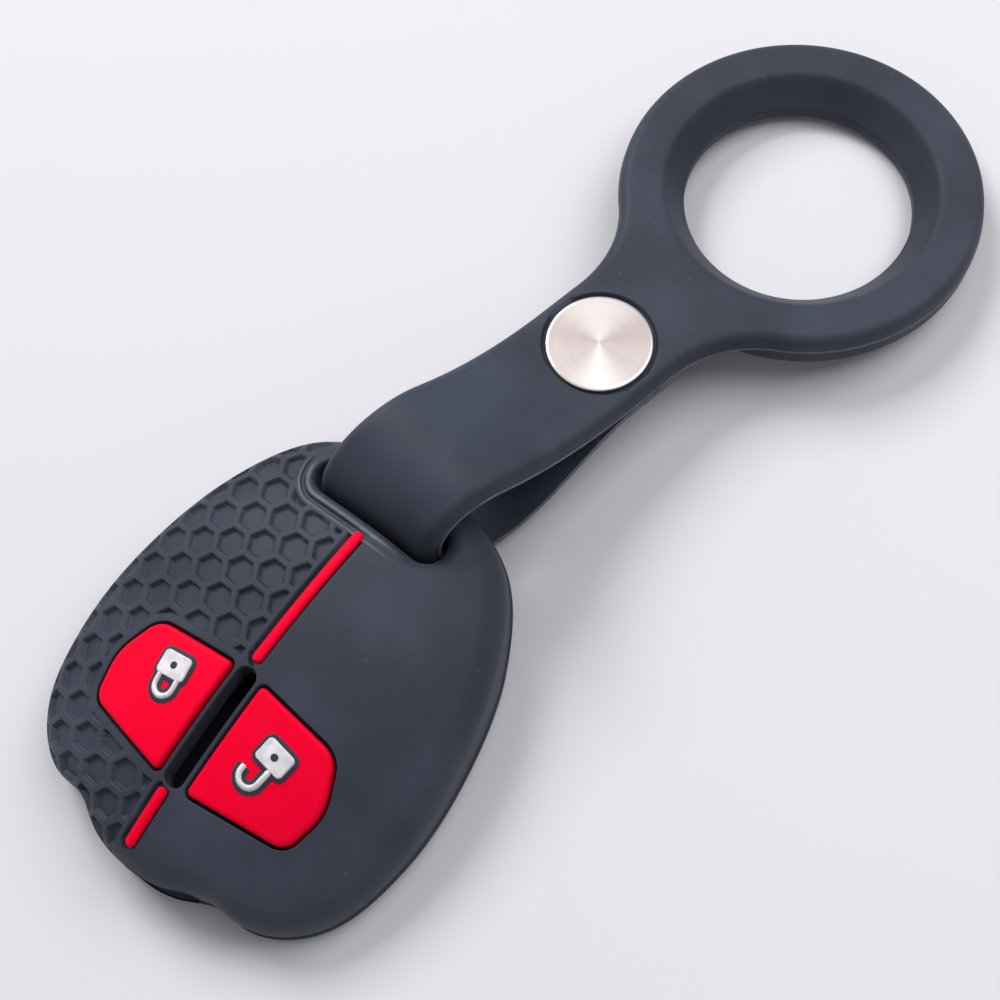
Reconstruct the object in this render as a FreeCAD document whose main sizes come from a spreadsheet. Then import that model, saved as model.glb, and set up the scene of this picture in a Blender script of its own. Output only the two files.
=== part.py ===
import FreeCAD, Part
import math
import os

# Key fob cover: a domed silicone cover, two red press pads and two red stripes set into its front,
# and a silicone strap with a carrying ring, looped through the cover's slot and closed by a snap.
# Frame: origin on the flat back under the top of the slit, +Y towards the ring end, +Z out of the front.

doc = FreeCAD.newDocument("key_fob_cover")
sheet = doc.addObject("Spreadsheet::Sheet", "sizes")

# Driving dimensions in millimetres and degrees; heights and places are from the origin unless said.
driving = {
    # cover
    "cover_half_width": 22.9,
    "ring_end_length": 29.0,
    "chin_length": 23.4,
    "cover_height": 14.8,
    "crown_cross_radius": 40.0,
    "crown_length_radius": 85.0,
    "crown_centre_y": 8.0,
    "front_round": 4.5,
    "back_round": 2.4,
    "cover_wall": 2.0,
    "heel_length": 16.5,
    "heel_angle": 17.0,
    "cavity_end_wall": 3.3,
    "mouth_width": 17.0,
    "mouth_height": 5.2,
    "mouth_floor_z": 2.2,
    "mouth_round": 2.0,
    # slot for the strap behind a bar, and slit between the pads
    "bar_width": 4.3,
    "slot_length": 19.0,
    "slot_opening": 6.2,
    "slit_y": -6.5,
    "slit_length": 14.6,
    "slit_width": 2.4,
    # red inlays
    "relief_depth": 0.5,
    "inlay_proud": 0.35,
    "pad_gap": 0.3,
    "pad_inner_x": 2.05,
    "pad_width": 12.65,
    "pad_top_y": 0.1,
    "pad_length": 13.4,
    "stripe_x": -0.2,
    "stripe_width": 1.2,
    "upper_stripe_start_y": 1.5,
    "upper_stripe_end_gap": 0.8,
    "lower_stripe_start_y": -14.3,
    "lower_stripe_length": 6.5,
    # strap, in its own plane: y from the slot's middle along the strap
    "strap_yaw": 11.3,
    "strap_width": 15.4,
    "strap_thickness": 2.2,
    "strap_edge_round": 1.4,
    "arch_centre_z": 10.0,
    "arch_radius": 7.5,
    "arm_descent": 33.0,
    "arm_bend_radius": 36.0,
    "ring_plane_fall": 6.25,
    "disc_y": 31.2,
    "disc_top_z": 10.4,
    "tail_z": 1.9,
    "tail_corner_radius": 3.2,
    "tail_rise_y": 11.0,
    "tail_rise_radius": 20.0,
    "tail_split_y": 22.0,
    "tail_knee_y": 27.0,
    "tail_knee_radius": 14.0,
    "tail_reach": 9.0,
    "layer_gap": 0.3,
    # carrying ring
    "ring_distance": 31.2,
    "ring_outer_radius": 20.9,
    "ring_face_radius": 15.7,
    "ring_hole_radius": 13.3,
    "ring_thickness": 4.7,
    "ring_lip": 1.3,
    "neck_flare_radius": 14.0,
    # snap, sunk in the strap
    "cap_radius": 6.0,
    "cap_thickness": 0.65,
    "cap_seat_depth": 0.55,
    "cap_gap": 0.35,
    "cap_chamfer": 0.15,
    "tube_radius": 3.1,
    "tube_bore_radius": 2.5,
    "socket_radius": 4.7,
    "socket_thickness": 0.8,
    "metal_gap": 0.04,
    "stud_flange_radius": 3.9,
    "stud_flange_thickness": 0.5,
    "stud_head_radius": 1.85,
    "stud_head_height": 1.25,
    "stud_head_round": 0.5,
    "post_head_radius": 3.6,
    "post_head_thickness": 0.5,
    "post_shank_radius": 0.95,
    # one overrun for every through cut
    "overrun": 3.0,
}
for row, (alias, value) in enumerate(driving.items(), start=1):
    sheet.set(f"A{row}", alias)
    sheet.set(f"B{row}", str(value))
    sheet.setAlias(f"B{row}", alias)
doc.recompute()

# Half outline of the cover seen from the front, as shares of its half width and of its two lengths:
# from the ring end round the side to the shoulder, in at the dip and out to the chin.
ring_end_shares = [(0.29, 0.976), (0.565, 0.88), (0.77, 0.665), (0.895, 0.42), (0.966, 0.18)]
chin_end_shares = [
    (1.0, 0.10), (0.977, 0.38), (0.90, 0.63), (0.735, 0.81), (0.565, 0.875), (0.415, 0.88), (0.235, 0.96),
]
# Corners of a pad: shares of its width and length from the inner top corner, and of its length for the round.
pad_corner_shares = [
    (0.0, 0.0, 0.04), (0.82, 0.08, 0.22), (1.0, 0.48, 0.45), (0.91, 0.875, 0.16), (0.0, 1.0, 0.04),
]
outline_samples = 48
close = 10 * Part.Vertex(0, 0, 0).Tolerance
upwards = FreeCAD.Vector(0, 0, 1)


def size(alias):
    return float(sheet.get(alias))


def vec(x, y, z=0.0):
    return FreeCAD.Vector(x, y, z)


def placed(base, axis=upwards, degrees=0.0):
    return FreeCAD.Placement(base, FreeCAD.Rotation(axis, degrees))


# Outlines


def cover_outline(offset):
    # periodic spline through the share points; an offset one runs through points moved along its normals
    half = [vec(0.0, size("ring_end_length"))]
    half += [vec(x * size("cover_half_width"), y * size("ring_end_length")) for x, y in ring_end_shares]
    half += [vec(x * size("cover_half_width"), -y * size("chin_length")) for x, y in chin_end_shares]
    points = half + [vec(0.0, -size("chin_length"))] + [vec(-p.x, p.y) for p in reversed(half[1:])]
    curve = Part.BSplineCurve()
    curve.interpolate(Points=points, PeriodicFlag=True)
    if offset == 0:
        return [curve]
    first, last = curve.FirstParameter, curve.LastParameter
    moved = []
    for k in range(outline_samples):
        u = first + (last - first) * k / outline_samples
        tangent = curve.tangent(u)[0]
        moved.append(curve.value(u) + vec(-tangent.y, tangent.x).normalize() * offset)
    offset_curve = Part.BSplineCurve()
    offset_curve.interpolate(Points=moved, PeriodicFlag=True)
    return [offset_curve]


def rounded_polygon(corners, grow=0.0):
    # corners are (x, y, radius) in order; each becomes a tangent arc, and grow moves every edge outwards
    count = len(corners)
    arcs = []
    for i, (x, y, radius) in enumerate(corners):
        here = vec(x, y)
        back = (vec(*corners[i - 1][:2]) - here).normalize()
        ahead = (vec(*corners[(i + 1) % count][:2]) - here).normalize()
        half_angle = back.getAngle(ahead) / 2
        inwards = (back + ahead).normalize()
        centre = here + inwards * (radius / math.sin(half_angle))
        corner = centre - inwards * ((radius + grow) / math.sin(half_angle))
        run = (radius + grow) / math.tan(half_angle)
        arcs.append((corner + back * run, centre - inwards * (radius + grow), corner + ahead * run))
    geometry = [Part.Arc(*arc) for arc in arcs]
    geometry += [Part.LineSegment(arcs[i - 1][2], arcs[i][0]) for i in range(count)]
    return geometry


def pad_outline(side, grow=0.0):
    # side is 1 for the right pad and -1 for the left one
    width, length = size("pad_width"), size("pad_length")
    corners = [
        (side * (size("pad_inner_x") + x * width), size("pad_top_y") - y * length, radius * length)
        for x, y, radius in pad_corner_shares
    ]
    return rounded_polygon(corners, grow)


def obround(middle, along, length, width):
    # two half circles joined by straight sides, with its length in the direction along
    radius = width / 2
    across = vec(-along.y, along.x) * radius
    far = middle + along * (length / 2 - radius)
    near = middle - along * (length / 2 - radius)
    return [
        Part.Arc(far + across, far + along * radius, far - across),
        Part.LineSegment(far - across, near - across),
        Part.Arc(near - across, near - along * radius, near + across),
        Part.LineSegment(near + across, far + across),
    ]


def band_side(points, radii, offset):
    # one long face of a band: its path moved to the left by offset, as (start, end, middle of arc or None)
    runs = [(points[i + 1] - points[i]).normalize() for i in range(len(points) - 1)]
    lefts = [vec(-run.y, run.x) for run in runs]
    here = points[0] + lefts[0] * offset
    pieces = []
    for i, radius in enumerate(radii, start=1):
        cross = runs[i - 1].x * runs[i].y - runs[i - 1].y * runs[i].x
        side = math.copysign(1, cross)
        reach = radius * math.tan(runs[i - 1].getAngle(runs[i]) / 2)
        arc_start = points[i] - runs[i - 1] * reach
        arc_end = points[i] + runs[i] * reach
        centre = arc_start + lefts[i - 1] * (side * radius)
        middle = centre + (points[i] - centre).normalize() * (radius - side * offset)
        pieces.append((here, arc_start + lefts[i - 1] * offset, None))
        here = arc_end + lefts[i] * offset
        pieces.append((pieces[-1][1], here, middle))
    pieces.append((here, points[-1] + lefts[-1] * offset, None))
    return [piece for piece in pieces if piece[0].distanceToPoint(piece[1]) > close]


def curves(pieces):
    return [
        Part.LineSegment(start, end) if middle is None else Part.Arc(start, middle, end)
        for start, end, middle in pieces
    ]


# Document objects


def prism(name, geometry, height, placement=FreeCAD.Placement()):
    # an outline in a placement's own plane, carried along that plane's normal; height is an expression
    sketch = doc.addObject("Sketcher::SketchObject", name + "_outline")
    for curve in geometry:
        sketch.addGeometry(curve, False)
    sketch.Placement = placement
    extrusion = doc.addObject("Part::Extrusion", name)
    extrusion.Base = sketch
    extrusion.DirMode = "Custom"
    extrusion.Dir = placement.Rotation.multVec(upwards)
    extrusion.Solid = True
    extrusion.setExpression("LengthFwd", height)
    return extrusion


def cylinder(name, radius, height, placement):
    piece = doc.addObject("Part::Cylinder", name)
    piece.setExpression("Radius", radius)
    piece.setExpression("Height", height)
    piece.Placement = placement
    return piece


def block(name, length, width, height, placement):
    piece = doc.addObject("Part::Box", name)
    piece.setExpression("Length", length)
    piece.setExpression("Width", width)
    piece.setExpression("Height", height)
    piece.Placement = placement
    return piece


def boolean(kind, name, base, tool):
    result = doc.addObject(kind, name)
    result.Base = base
    result.Tool = tool
    return result


def joined(name, objects):
    fusion = doc.addObject("Part::MultiFuse", name)
    fusion.Shapes = objects
    fusion.Refine = True
    return fusion


def grouped(name, objects):
    compound = doc.addObject("Part::Compound", name)
    compound.Links = objects
    return compound


def rounded(name, base, radius, chosen):
    # fillet of the edges that chosen picks, all with one radius
    doc.recompute()
    fillet = doc.addObject("Part::Fillet", name)
    fillet.Base = base
    edges = enumerate(base.Shape.Edges, start=1)
    fillet.Edges = [(i, radius, radius) for i, edge in edges if chosen(edge)]
    return fillet


def body_sketch(body, role, name, geometry):
    sketch = body.newObject("Sketcher::SketchObject", name)
    plane = next(feature for feature in body.Origin.OriginFeatures if feature.Role == role)
    sketch.AttachmentSupport = [(plane, "")]
    sketch.MapMode = "FlatFace"
    for curve in geometry:
        sketch.addGeometry(curve, False)
    return sketch


def turned_piece(label, profile, placement):
    # a closed (radius, height) profile turned about the body's own Z axis
    body = doc.addObject("PartDesign::Body", label)
    points = [vec(radius, height) for radius, height in profile]
    geometry = [Part.LineSegment(points[i - 1], points[i]) for i in range(len(points))]
    sketch = body_sketch(body, "XZ_Plane", label + "_profile", geometry)
    revolution = body.newObject("PartDesign::Revolution", label + "_turned")
    revolution.Profile = sketch
    revolution.ReferenceAxis = (sketch, ["V_Axis"])
    revolution.Angle = 360
    body.Placement = placement
    return body


def middle_of(edge):
    return edge.valueAt((edge.FirstParameter + edge.LastParameter) / 2)


def band(label, points, radii, outer):
    # strap band: its side profile in the strap's upright plane, carried across the strap's width;
    # outer is 1 where the strap's outer face lies to the left of the path, and -1 to the right
    half = size("strap_thickness") / 2
    left = band_side(points, radii, half)
    right = band_side(points, radii, -half)
    ends = [(left[-1][1], right[-1][1], None), (right[0][0], left[0][0], None)]
    body = doc.addObject("PartDesign::Body", label)
    sketch = body_sketch(body, "YZ_Plane", label + "_profile", curves(left + right + ends))
    pad = body.newObject("PartDesign::Pad", label + "_pad")
    pad.Profile = sketch
    pad.Midplane = True
    pad.setExpression("Length", "sizes.strap_width")
    doc.recompute()
    outer_side = Part.Wire(Part.__sortEdges__([c.toShape() for c in curves(left if outer > 0 else right)]))
    chosen = []
    for i, edge in enumerate(pad.Shape.Edges, start=1):
        middle = middle_of(edge)
        at_side = abs(abs(middle.x) - size("strap_width") / 2) < close
        flat = Part.Vertex(middle.y, middle.z, 0)
        if at_side and outer_side.distToShape(flat)[0] < close:
            chosen.append(f"Edge{i}")
    fillet = body.newObject("PartDesign::Fillet", label + "_rounds")
    fillet.Base = (pad, chosen)
    fillet.setExpression("Radius", "sizes.strap_edge_round")
    body.Placement = strap_place
    return body


# Cover


def pebble(name, offset):
    # the cover's outer form moved outwards by offset: outline, crowned front, rounded edges, sloped heel
    blank = prism(
        name + "_wall", cover_outline(offset), f"sizes.cover_height + {2 * offset} + sizes.overrun",
        placed(vec(0, 0, -offset)),
    )
    crown = doc.addObject("Part::Torus", name + "_crown")
    crown.setExpression("Radius1", "sizes.crown_length_radius - sizes.crown_cross_radius")
    crown.setExpression("Radius2", f"sizes.crown_cross_radius + {offset}")
    crown_centre = vec(0, size("crown_centre_y"), size("cover_height") - size("crown_length_radius"))
    crown.Placement = placed(crown_centre, vec(0, 1), 90)
    crowned = boolean("Part::Common", name + "_crowned", blank, crown)
    back_z = size("back_round")
    front = rounded(
        name + "_front", crowned, size("front_round") + offset, lambda edge: edge.BoundBox.ZMin > back_z
    )
    back = rounded(
        name + "_back", front, size("back_round") + offset, lambda edge: edge.BoundBox.ZMax < back_z
    )
    slope = FreeCAD.Rotation(vec(1, 0), size("heel_angle"))
    corner = slope.multVec(vec(-2 * size("cover_half_width"), 0, -size("cover_height") - offset))
    heel = block(
        name + "_heel", "4 * sizes.cover_half_width", "2 * sizes.ring_end_length", "sizes.cover_height",
        FreeCAD.Placement(vec(0, size("ring_end_length") - size("heel_length")) + corner, slope),
    )
    return boolean("Part::Cut", name, back, heel)


def stripe_outline(start_y, length):
    middle = vec(size("stripe_x"), start_y + length / 2)
    return obround(middle, vec(0, 1), abs(length), size("stripe_width"))


def cover_pieces():
    tall = "2 * sizes.cover_height"
    slot_near_y = slot_y - size("slot_opening") / 2
    cavity_end_y = slot_near_y - size("cavity_end_wall")
    stripe_start_y = size("upper_stripe_start_y")
    stripe_length = slot_near_y - size("upper_stripe_end_gap") - stripe_start_y
    outer = pebble("outer_form", 0.0)
    proud = pebble("proud_form", size("inlay_proud"))
    relief = pebble("relief_form", -size("relief_depth"))
    inner = pebble("inner_form", -size("cover_wall"))
    behind = block(
        "cavity_space", "4 * sizes.cover_half_width", "4 * sizes.chin_length", tall,
        placed(vec(-2 * size("cover_half_width"), cavity_end_y - 4 * size("chin_length"))),
    )
    cavity = boolean("Part::Common", "cavity", inner, behind)
    slot_outline = obround(vec(0, slot_y), vec(1, 0), size("slot_length"), size("slot_opening"))
    slot = prism("strap_slot", slot_outline, tall)
    above_middle = placed(vec(0, 0, size("cover_height") / 2))
    slit_outline = obround(vec(0, size("slit_y")), vec(0, 1), size("slit_length"), size("slit_width"))
    slit = prism("slit", slit_outline, tall, above_middle)
    windows = [
        prism(f"{name}_window", pad_outline(side, size("pad_gap")), tall, above_middle)
        for name, side in pad_sides
    ]
    mouth_half, mouth_round = size("mouth_width") / 2, size("mouth_round")
    mouth_corners = [
        (x, z, mouth_round)
        for x, z in (
            (-mouth_half, size("mouth_floor_z")),
            (mouth_half, size("mouth_floor_z")),
            (mouth_half, size("mouth_floor_z") + size("mouth_height")),
            (-mouth_half, size("mouth_floor_z") + size("mouth_height")),
        )
    ]
    mouth_back = placed(vec(0, -size("chin_length") + size("front_round")), vec(1, 0), 90)
    mouth = prism("mouth", rounded_polygon(mouth_corners), "sizes.front_round + sizes.overrun", mouth_back)
    stripes = {
        "upper_stripe": stripe_outline(stripe_start_y, stripe_length),
        "lower_stripe": stripe_outline(size("lower_stripe_start_y"), -size("lower_stripe_length")),
    }
    grooves = [prism(f"{name}_groove", outline, tall, above_middle) for name, outline in stripes.items()]
    reliefs = boolean("Part::Cut", "reliefs", grouped("relief_cuts", grooves), relief)
    hollow = outer
    for opening in [cavity, slot, slit, mouth] + windows:
        hollow = boolean("Part::Cut", f"cover_less_{opening.Name}", hollow, opening)
    pieces = {"cover_shell": boolean("Part::Cut", "cover_shell", hollow, reliefs)}
    for name, side in pad_sides:
        blank = prism(f"{name}_blank", pad_outline(side), tall, above_middle)
        crowned = boolean("Part::Common", f"{name}_crowned", blank, proud)
        pieces[name] = boolean("Part::Cut", name, crowned, inner)
    for name, outline in stripes.items():
        blank = prism(f"{name}_blank", outline, tall, above_middle)
        bead = boolean("Part::Common", f"{name}_bead", blank, proud)
        pieces[name] = boolean("Part::Cut", name, bead, relief)
    return pieces


# Strap and ring


def strap_pieces():
    descent, fall = math.radians(size("arm_descent")), math.radians(size("ring_plane_fall"))
    half = size("strap_thickness") / 2
    down = vec(math.cos(descent), -math.sin(descent))
    along = vec(math.cos(fall), -math.sin(fall))
    normal = vec(math.sin(fall), math.cos(fall))
    # the path is the middle of the strap's thickness: out of the slot, over the arch, down to the ring plane
    arch_reach = size("arch_radius") * math.tan((math.pi / 2 + descent) / 2)
    peak = vec(0, size("arch_centre_z") + arch_reach)
    arch_end = peak + down * arch_reach
    disc_middle = vec(size("disc_y"), size("disc_top_z")) - normal * half
    drop = ((disc_middle - peak).dot(normal)) / down.dot(normal)
    bend = peak + down * drop
    bend_reach = size("arm_bend_radius") * math.tan((descent - fall) / 2)
    arm_end = bend + along * bend_reach
    # and back under the bar as the tail, which rises to lie against the arm
    tail_middle = disc_middle - normal * (size("strap_thickness") + size("layer_gap"))
    knee = tail_middle + along * ((size("tail_knee_y") - tail_middle.x) / along.x)
    rise = vec(size("tail_rise_y"), size("tail_z"))
    split = rise + (knee - rise) * ((size("tail_split_y") - rise.x) / (knee.x - rise.x))
    tail_end = tail_middle + along * size("tail_reach")
    loop_path = [arch_end, peak, vec(0, size("tail_z")), rise, split]
    loop_radii = [size("arch_radius"), size("tail_corner_radius"), size("tail_rise_radius")]
    loop = band("strap_loop", loop_path, loop_radii, -1)
    arm = band("strap_arm", [arch_end, bend, arm_end], [size("arm_bend_radius")], 1)
    tail_band = band("tail_band", [split, knee, tail_end], [size("tail_knee_radius")], -1)
    return loop, strap_head(arm, (arm_end - disc_middle).dot(along)), strap_tail(tail_band)


def head_outline(start_y):
    # neck and ring seen from above: straight neck, flares tangent to the ring's circle, the ring's far arc
    half, flare, outer = size("strap_width") / 2, size("neck_flare_radius"), size("ring_outer_radius")
    ring_centre = vec(0, size("ring_distance"))
    flare_y = ring_centre.y - math.sqrt((outer + flare) ** 2 - (half + flare) ** 2)
    geometry = [Part.LineSegment(vec(-half, start_y), vec(half, start_y))]
    ring_ends = []
    for side in (1, -1):
        flare_centre = vec(side * (half + flare), flare_y)
        neck_end = vec(side * half, flare_y)
        ring_ends.append(ring_centre + (flare_centre - ring_centre).normalize() * outer)
        halfway = ((neck_end - flare_centre) + (ring_ends[-1] - flare_centre)).normalize()
        geometry.append(Part.LineSegment(vec(side * half, start_y), neck_end))
        geometry.append(Part.Arc(neck_end, flare_centre + halfway * flare, ring_ends[-1]))
    geometry.append(Part.Arc(ring_ends[0], ring_centre + vec(0, outer), ring_ends[1]))
    return geometry


def from_disc(y, z):
    # a place on the strap's centre line, measured in the ring plane from the middle of the snap's cap
    return head_place.multiply(placed(vec(0, y, z)))


def strap_head(arm, start_y):
    thickness = size("strap_thickness")
    outline = head_outline(start_y)
    plate = prism("head_plate", outline, "sizes.strap_thickness", from_disc(0, -thickness))
    ring_y = size("ring_distance")
    ring_body = cylinder(
        "ring_body", "sizes.ring_outer_radius", "sizes.ring_thickness - sizes.strap_edge_round",
        from_disc(ring_y, -size("ring_thickness")),
    )
    top_outline = Part.Wire(Part.__sortEdges__([curve.toShape() for curve in outline[1:]]))

    def on_top_edge(edge):
        # outer edges of the top face, along the neck and round the ring
        middle = head_place.inverse().multVec(middle_of(edge))
        flat = Part.Vertex(middle.x, middle.y, 0)
        return abs(middle.z) < close and top_outline.distToShape(flat)[0] < close

    eased = rounded("head_rounds", plate, size("strap_edge_round"), on_top_edge)
    whole = joined("head_blank", [arm, eased, ring_body])
    hole = cylinder(
        "ring_hole", "sizes.ring_hole_radius", "3 * sizes.ring_thickness",
        from_disc(ring_y, -2 * size("ring_thickness")),
    )
    cone = doc.addObject("Part::Cone", "ring_cone")
    cone.setExpression("Radius1", "sizes.ring_hole_radius")
    cone.setExpression("Radius2", "sizes.ring_face_radius")
    cone.setExpression("Height", "sizes.ring_thickness - sizes.ring_lip")
    cone.Placement = from_disc(ring_y, size("ring_lip") - size("ring_thickness"))
    cap_seat = cylinder(
        "cap_seat", "sizes.cap_radius + sizes.cap_gap", "sizes.overrun", from_disc(0, -size("cap_seat_depth"))
    )
    tube_hole = cylinder(
        "tube_hole", "sizes.tube_radius + sizes.metal_gap", "2 * sizes.overrun",
        from_disc(0, -size("overrun")),
    )
    socket_seat = cylinder(
        "socket_seat", "sizes.socket_radius + sizes.metal_gap", "sizes.socket_thickness + sizes.layer_gap",
        from_disc(0, -thickness - size("layer_gap")),
    )
    cuts = grouped("head_cuts", [hole, cone, cap_seat, tube_hole, socket_seat])
    return boolean("Part::Cut", "strap_ring", whole, cuts)


def strap_tail(blank):
    top = -size("strap_thickness") - size("layer_gap")
    bottom = top - size("strap_thickness")
    stud_seat = cylinder(
        "stud_seat", "sizes.stud_flange_radius + sizes.metal_gap", "sizes.overrun",
        from_disc(0, top - size("stud_flange_thickness")),
    )
    post_hole = cylinder(
        "post_hole", "sizes.post_shank_radius + sizes.metal_gap", "2 * sizes.overrun", from_disc(0, bottom)
    )
    post_seat = cylinder(
        "post_seat", "sizes.post_head_radius + sizes.metal_gap", "sizes.post_head_thickness + sizes.overrun",
        from_disc(0, bottom - size("overrun")),
    )
    cuts = grouped("tail_cuts", [stud_seat, post_hole, post_seat])
    return boolean("Part::Cut", "strap_tail", blank, cuts)


# Snap: cap and socket clamp the arm, stud and post clamp the tail


def snap_pieces():
    arm_bottom = -size("strap_thickness")
    tail_top = arm_bottom - size("layer_gap")
    tail_bottom = tail_top - size("strap_thickness")
    cap_bottom = -size("cap_seat_depth")
    cap_top = cap_bottom + size("cap_thickness")
    chamfer, cap = size("cap_chamfer"), size("cap_radius")
    tube, bore = size("tube_radius"), size("tube_bore_radius")
    head, head_round = size("stud_head_radius"), size("stud_head_round")
    stud_top = tail_top + size("stud_head_height")
    flange, flange_bottom = size("stud_flange_radius"), tail_top - size("stud_flange_thickness")
    shank, shank_top = size("post_shank_radius"), stud_top - head_round
    stud_bore = shank + size("metal_gap")
    post, post_top = size("post_head_radius"), tail_bottom + size("post_head_thickness")
    socket_top = arm_bottom + size("socket_thickness")
    profiles = {
        "snap_cap": [
            (0, cap_top), (cap - chamfer, cap_top), (cap, cap_top - chamfer), (cap, cap_bottom),
            (tube, cap_bottom), (tube, arm_bottom), (bore, arm_bottom), (bore, cap_bottom), (0, cap_bottom),
        ],
        "snap_socket": [
            (tube + size("metal_gap"), socket_top), (size("socket_radius"), socket_top),
            (size("socket_radius"), arm_bottom), (tube + size("metal_gap"), arm_bottom),
        ],
        "snap_stud": [
            (stud_bore, shank_top), (0, shank_top), (0, stud_top), (head - head_round, stud_top),
            (head, stud_top - head_round), (head, tail_top), (flange, tail_top), (flange, flange_bottom),
            (stud_bore, flange_bottom),
        ],
        "snap_post": [
            (0, shank_top), (shank, shank_top), (shank, post_top), (post, post_top), (post, tail_bottom),
            (0, tail_bottom),
        ],
    }
    return {name: turned_piece(name, profile, head_place) for name, profile in profiles.items()}


pad_sides = [("lock_pad", -1), ("unlock_pad", 1)]
slot_y = size("ring_end_length") - size("bar_width") - size("slot_opening") / 2
strap_place = placed(vec(0, slot_y), upwards, -size("strap_yaw"))
disc_place = placed(vec(0, size("disc_y"), size("disc_top_z")), vec(1, 0), -size("ring_plane_fall"))
head_place = strap_place.multiply(disc_place)

pieces = cover_pieces()
pieces["strap_loop"], pieces["strap_ring"], pieces["strap_tail"] = strap_pieces()
pieces.update(snap_pieces())
for name, piece in pieces.items():
    piece.Label = name
doc.recompute()

for item in doc.Objects:
    if "Invalid" in item.State or "Error" in item.State:
        raise RuntimeError(f"{item.Label} failed: {item.State}")
for name, piece in pieces.items():
    if piece.Shape.isNull() or not piece.Shape.isValid() or len(piece.Shape.Solids) != 1:
        raise RuntimeError(f"{name} is not one valid solid")

os.makedirs("parts", exist_ok=True)
for name, piece in pieces.items():
    piece.Shape.exportStep(f"parts/{name}.step")
    print(f"{name}: {piece.Shape.Volume:.1f} mm3")
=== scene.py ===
import bmesh
import bpy
import math
import numpy as np
from mathutils import Matrix, Vector


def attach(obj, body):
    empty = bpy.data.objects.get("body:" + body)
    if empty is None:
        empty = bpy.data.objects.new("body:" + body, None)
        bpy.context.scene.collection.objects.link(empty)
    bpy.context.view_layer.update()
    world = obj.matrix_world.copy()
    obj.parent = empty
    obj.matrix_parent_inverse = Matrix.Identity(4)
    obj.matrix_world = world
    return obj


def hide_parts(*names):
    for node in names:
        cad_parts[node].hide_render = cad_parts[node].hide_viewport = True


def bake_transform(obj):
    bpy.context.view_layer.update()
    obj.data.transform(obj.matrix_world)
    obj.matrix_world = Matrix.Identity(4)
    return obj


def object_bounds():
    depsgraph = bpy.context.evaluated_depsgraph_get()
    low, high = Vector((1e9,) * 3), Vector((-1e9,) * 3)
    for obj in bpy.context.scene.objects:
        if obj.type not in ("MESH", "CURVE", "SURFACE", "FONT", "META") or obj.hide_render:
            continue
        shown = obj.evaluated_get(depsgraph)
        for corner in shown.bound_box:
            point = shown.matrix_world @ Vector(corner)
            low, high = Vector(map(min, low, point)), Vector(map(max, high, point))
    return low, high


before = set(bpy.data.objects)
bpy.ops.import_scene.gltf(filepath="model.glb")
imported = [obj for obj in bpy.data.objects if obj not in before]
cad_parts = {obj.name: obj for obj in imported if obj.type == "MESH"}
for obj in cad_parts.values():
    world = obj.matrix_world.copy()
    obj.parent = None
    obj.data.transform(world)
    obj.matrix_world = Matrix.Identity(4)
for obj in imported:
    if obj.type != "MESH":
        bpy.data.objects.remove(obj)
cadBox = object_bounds()
mm = 0.001
print("frame loaded:", len(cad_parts), "nodes")


# shader values

class Value:
    # one output socket of a node tree; arithmetic on it adds Math nodes there

    def __init__(self, tree, socket):
        self.tree, self.socket = tree, socket

    def node(self, kind, settings=None, sockets=None, out=0):
        made = self.tree.nodes.new(kind)
        for key, value in (settings or {}).items():
            setattr(made, key, value)
        for key, value in (sockets or {}).items():
            if isinstance(value, Value):
                self.tree.links.new(value.socket, made.inputs[key])
            else:
                made.inputs[key].default_value = value
        return Value(self.tree, made.outputs[out])

    def math(self, operation, *others, clamp=False):
        values = dict(enumerate([self, *others]))
        return self.node("ShaderNodeMath", {"operation": operation, "use_clamp": clamp}, values)

    def __add__(self, other):
        return self.math("ADD", other)

    __radd__ = __add__

    def __mul__(self, other):
        return self.math("MULTIPLY", other)

    __rmul__ = __mul__

    def clamped(self):
        return self.math("ADD", 0.0, clamp=True)

    def step(self, low, high):  # smooth 0 to 1 between low and high
        return self.node("ShaderNodeMapRange", {"interpolation_type": "SMOOTHSTEP"},
                         {"Value": self, "From Min": low, "From Max": high})

    def blend(self, colourA, colourB):  # colour A where this is 0, B where it is 1
        return self.node("ShaderNodeMix", {"data_type": "RGBA"},
                         {"Factor": self, 6: colourA, 7: colourB}, out=2)

    def noise(self, scale, detail=2.0, roughness=0.5):  # self is a vector here
        return self.node("ShaderNodeTexNoise", None,
                         {"Vector": self, "Scale": scale, "Detail": detail, "Roughness": roughness})

    def bumped(self, strength, height):  # normal of a relief that follows this value
        return self.node("ShaderNodeBump", None, {"Strength": strength, "Distance": height, "Height": self})

    def along(self, axis):  # one part of a vector
        return self.node("ShaderNodeSeparateXYZ", None, {0: self}, out="XYZ".index(axis))


def newMaterial(name):
    # an empty node tree with a Principled shader; returns it and the Object coordinates
    material = bpy.data.materials.new(name)
    material.use_nodes = True
    tree = material.node_tree
    shader = tree.nodes["Principled BSDF"]
    place = Value(tree, tree.nodes.new("ShaderNodeTexCoord").outputs["Object"])
    return material, shader, place


def feed(shader, **inputs):
    # sockets by name with spaces dropped: a number is set, a value is linked
    for key, value in inputs.items():
        socket = next(s for s in shader.inputs if s.name.replace(" ", "") == key)
        if isinstance(value, Value):
            value.tree.links.new(value.socket, socket)
        else:
            socket.default_value = value


def rgb(r, g, b):
    # screen colour 0-255 to the linear colour that shaders take
    c = np.array([r, g, b]) / 255
    linear = np.where(c <= 0.04045, c / 12.92, ((c + 0.055) / 1.055) ** 2.4)
    return (*[float(v) for v in linear], 1.0)


# the pale edge colour in navyLook stands for wear along edges together with a painted highlight where light
# catches them
navyLook = {"deep": (46, 51, 63), "pale": (56, 62, 75), "worn": (132, 138, 150), "dust": (120, 124, 132),
            "dustShare": 0.12, "rough": 0.54, "grain": 5200.0, "grainHeight": 0.05, "grainStrength": 0.22,
            "specular": 0.2, "sheen": 0.04, "sheenRough": 0.45}


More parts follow.
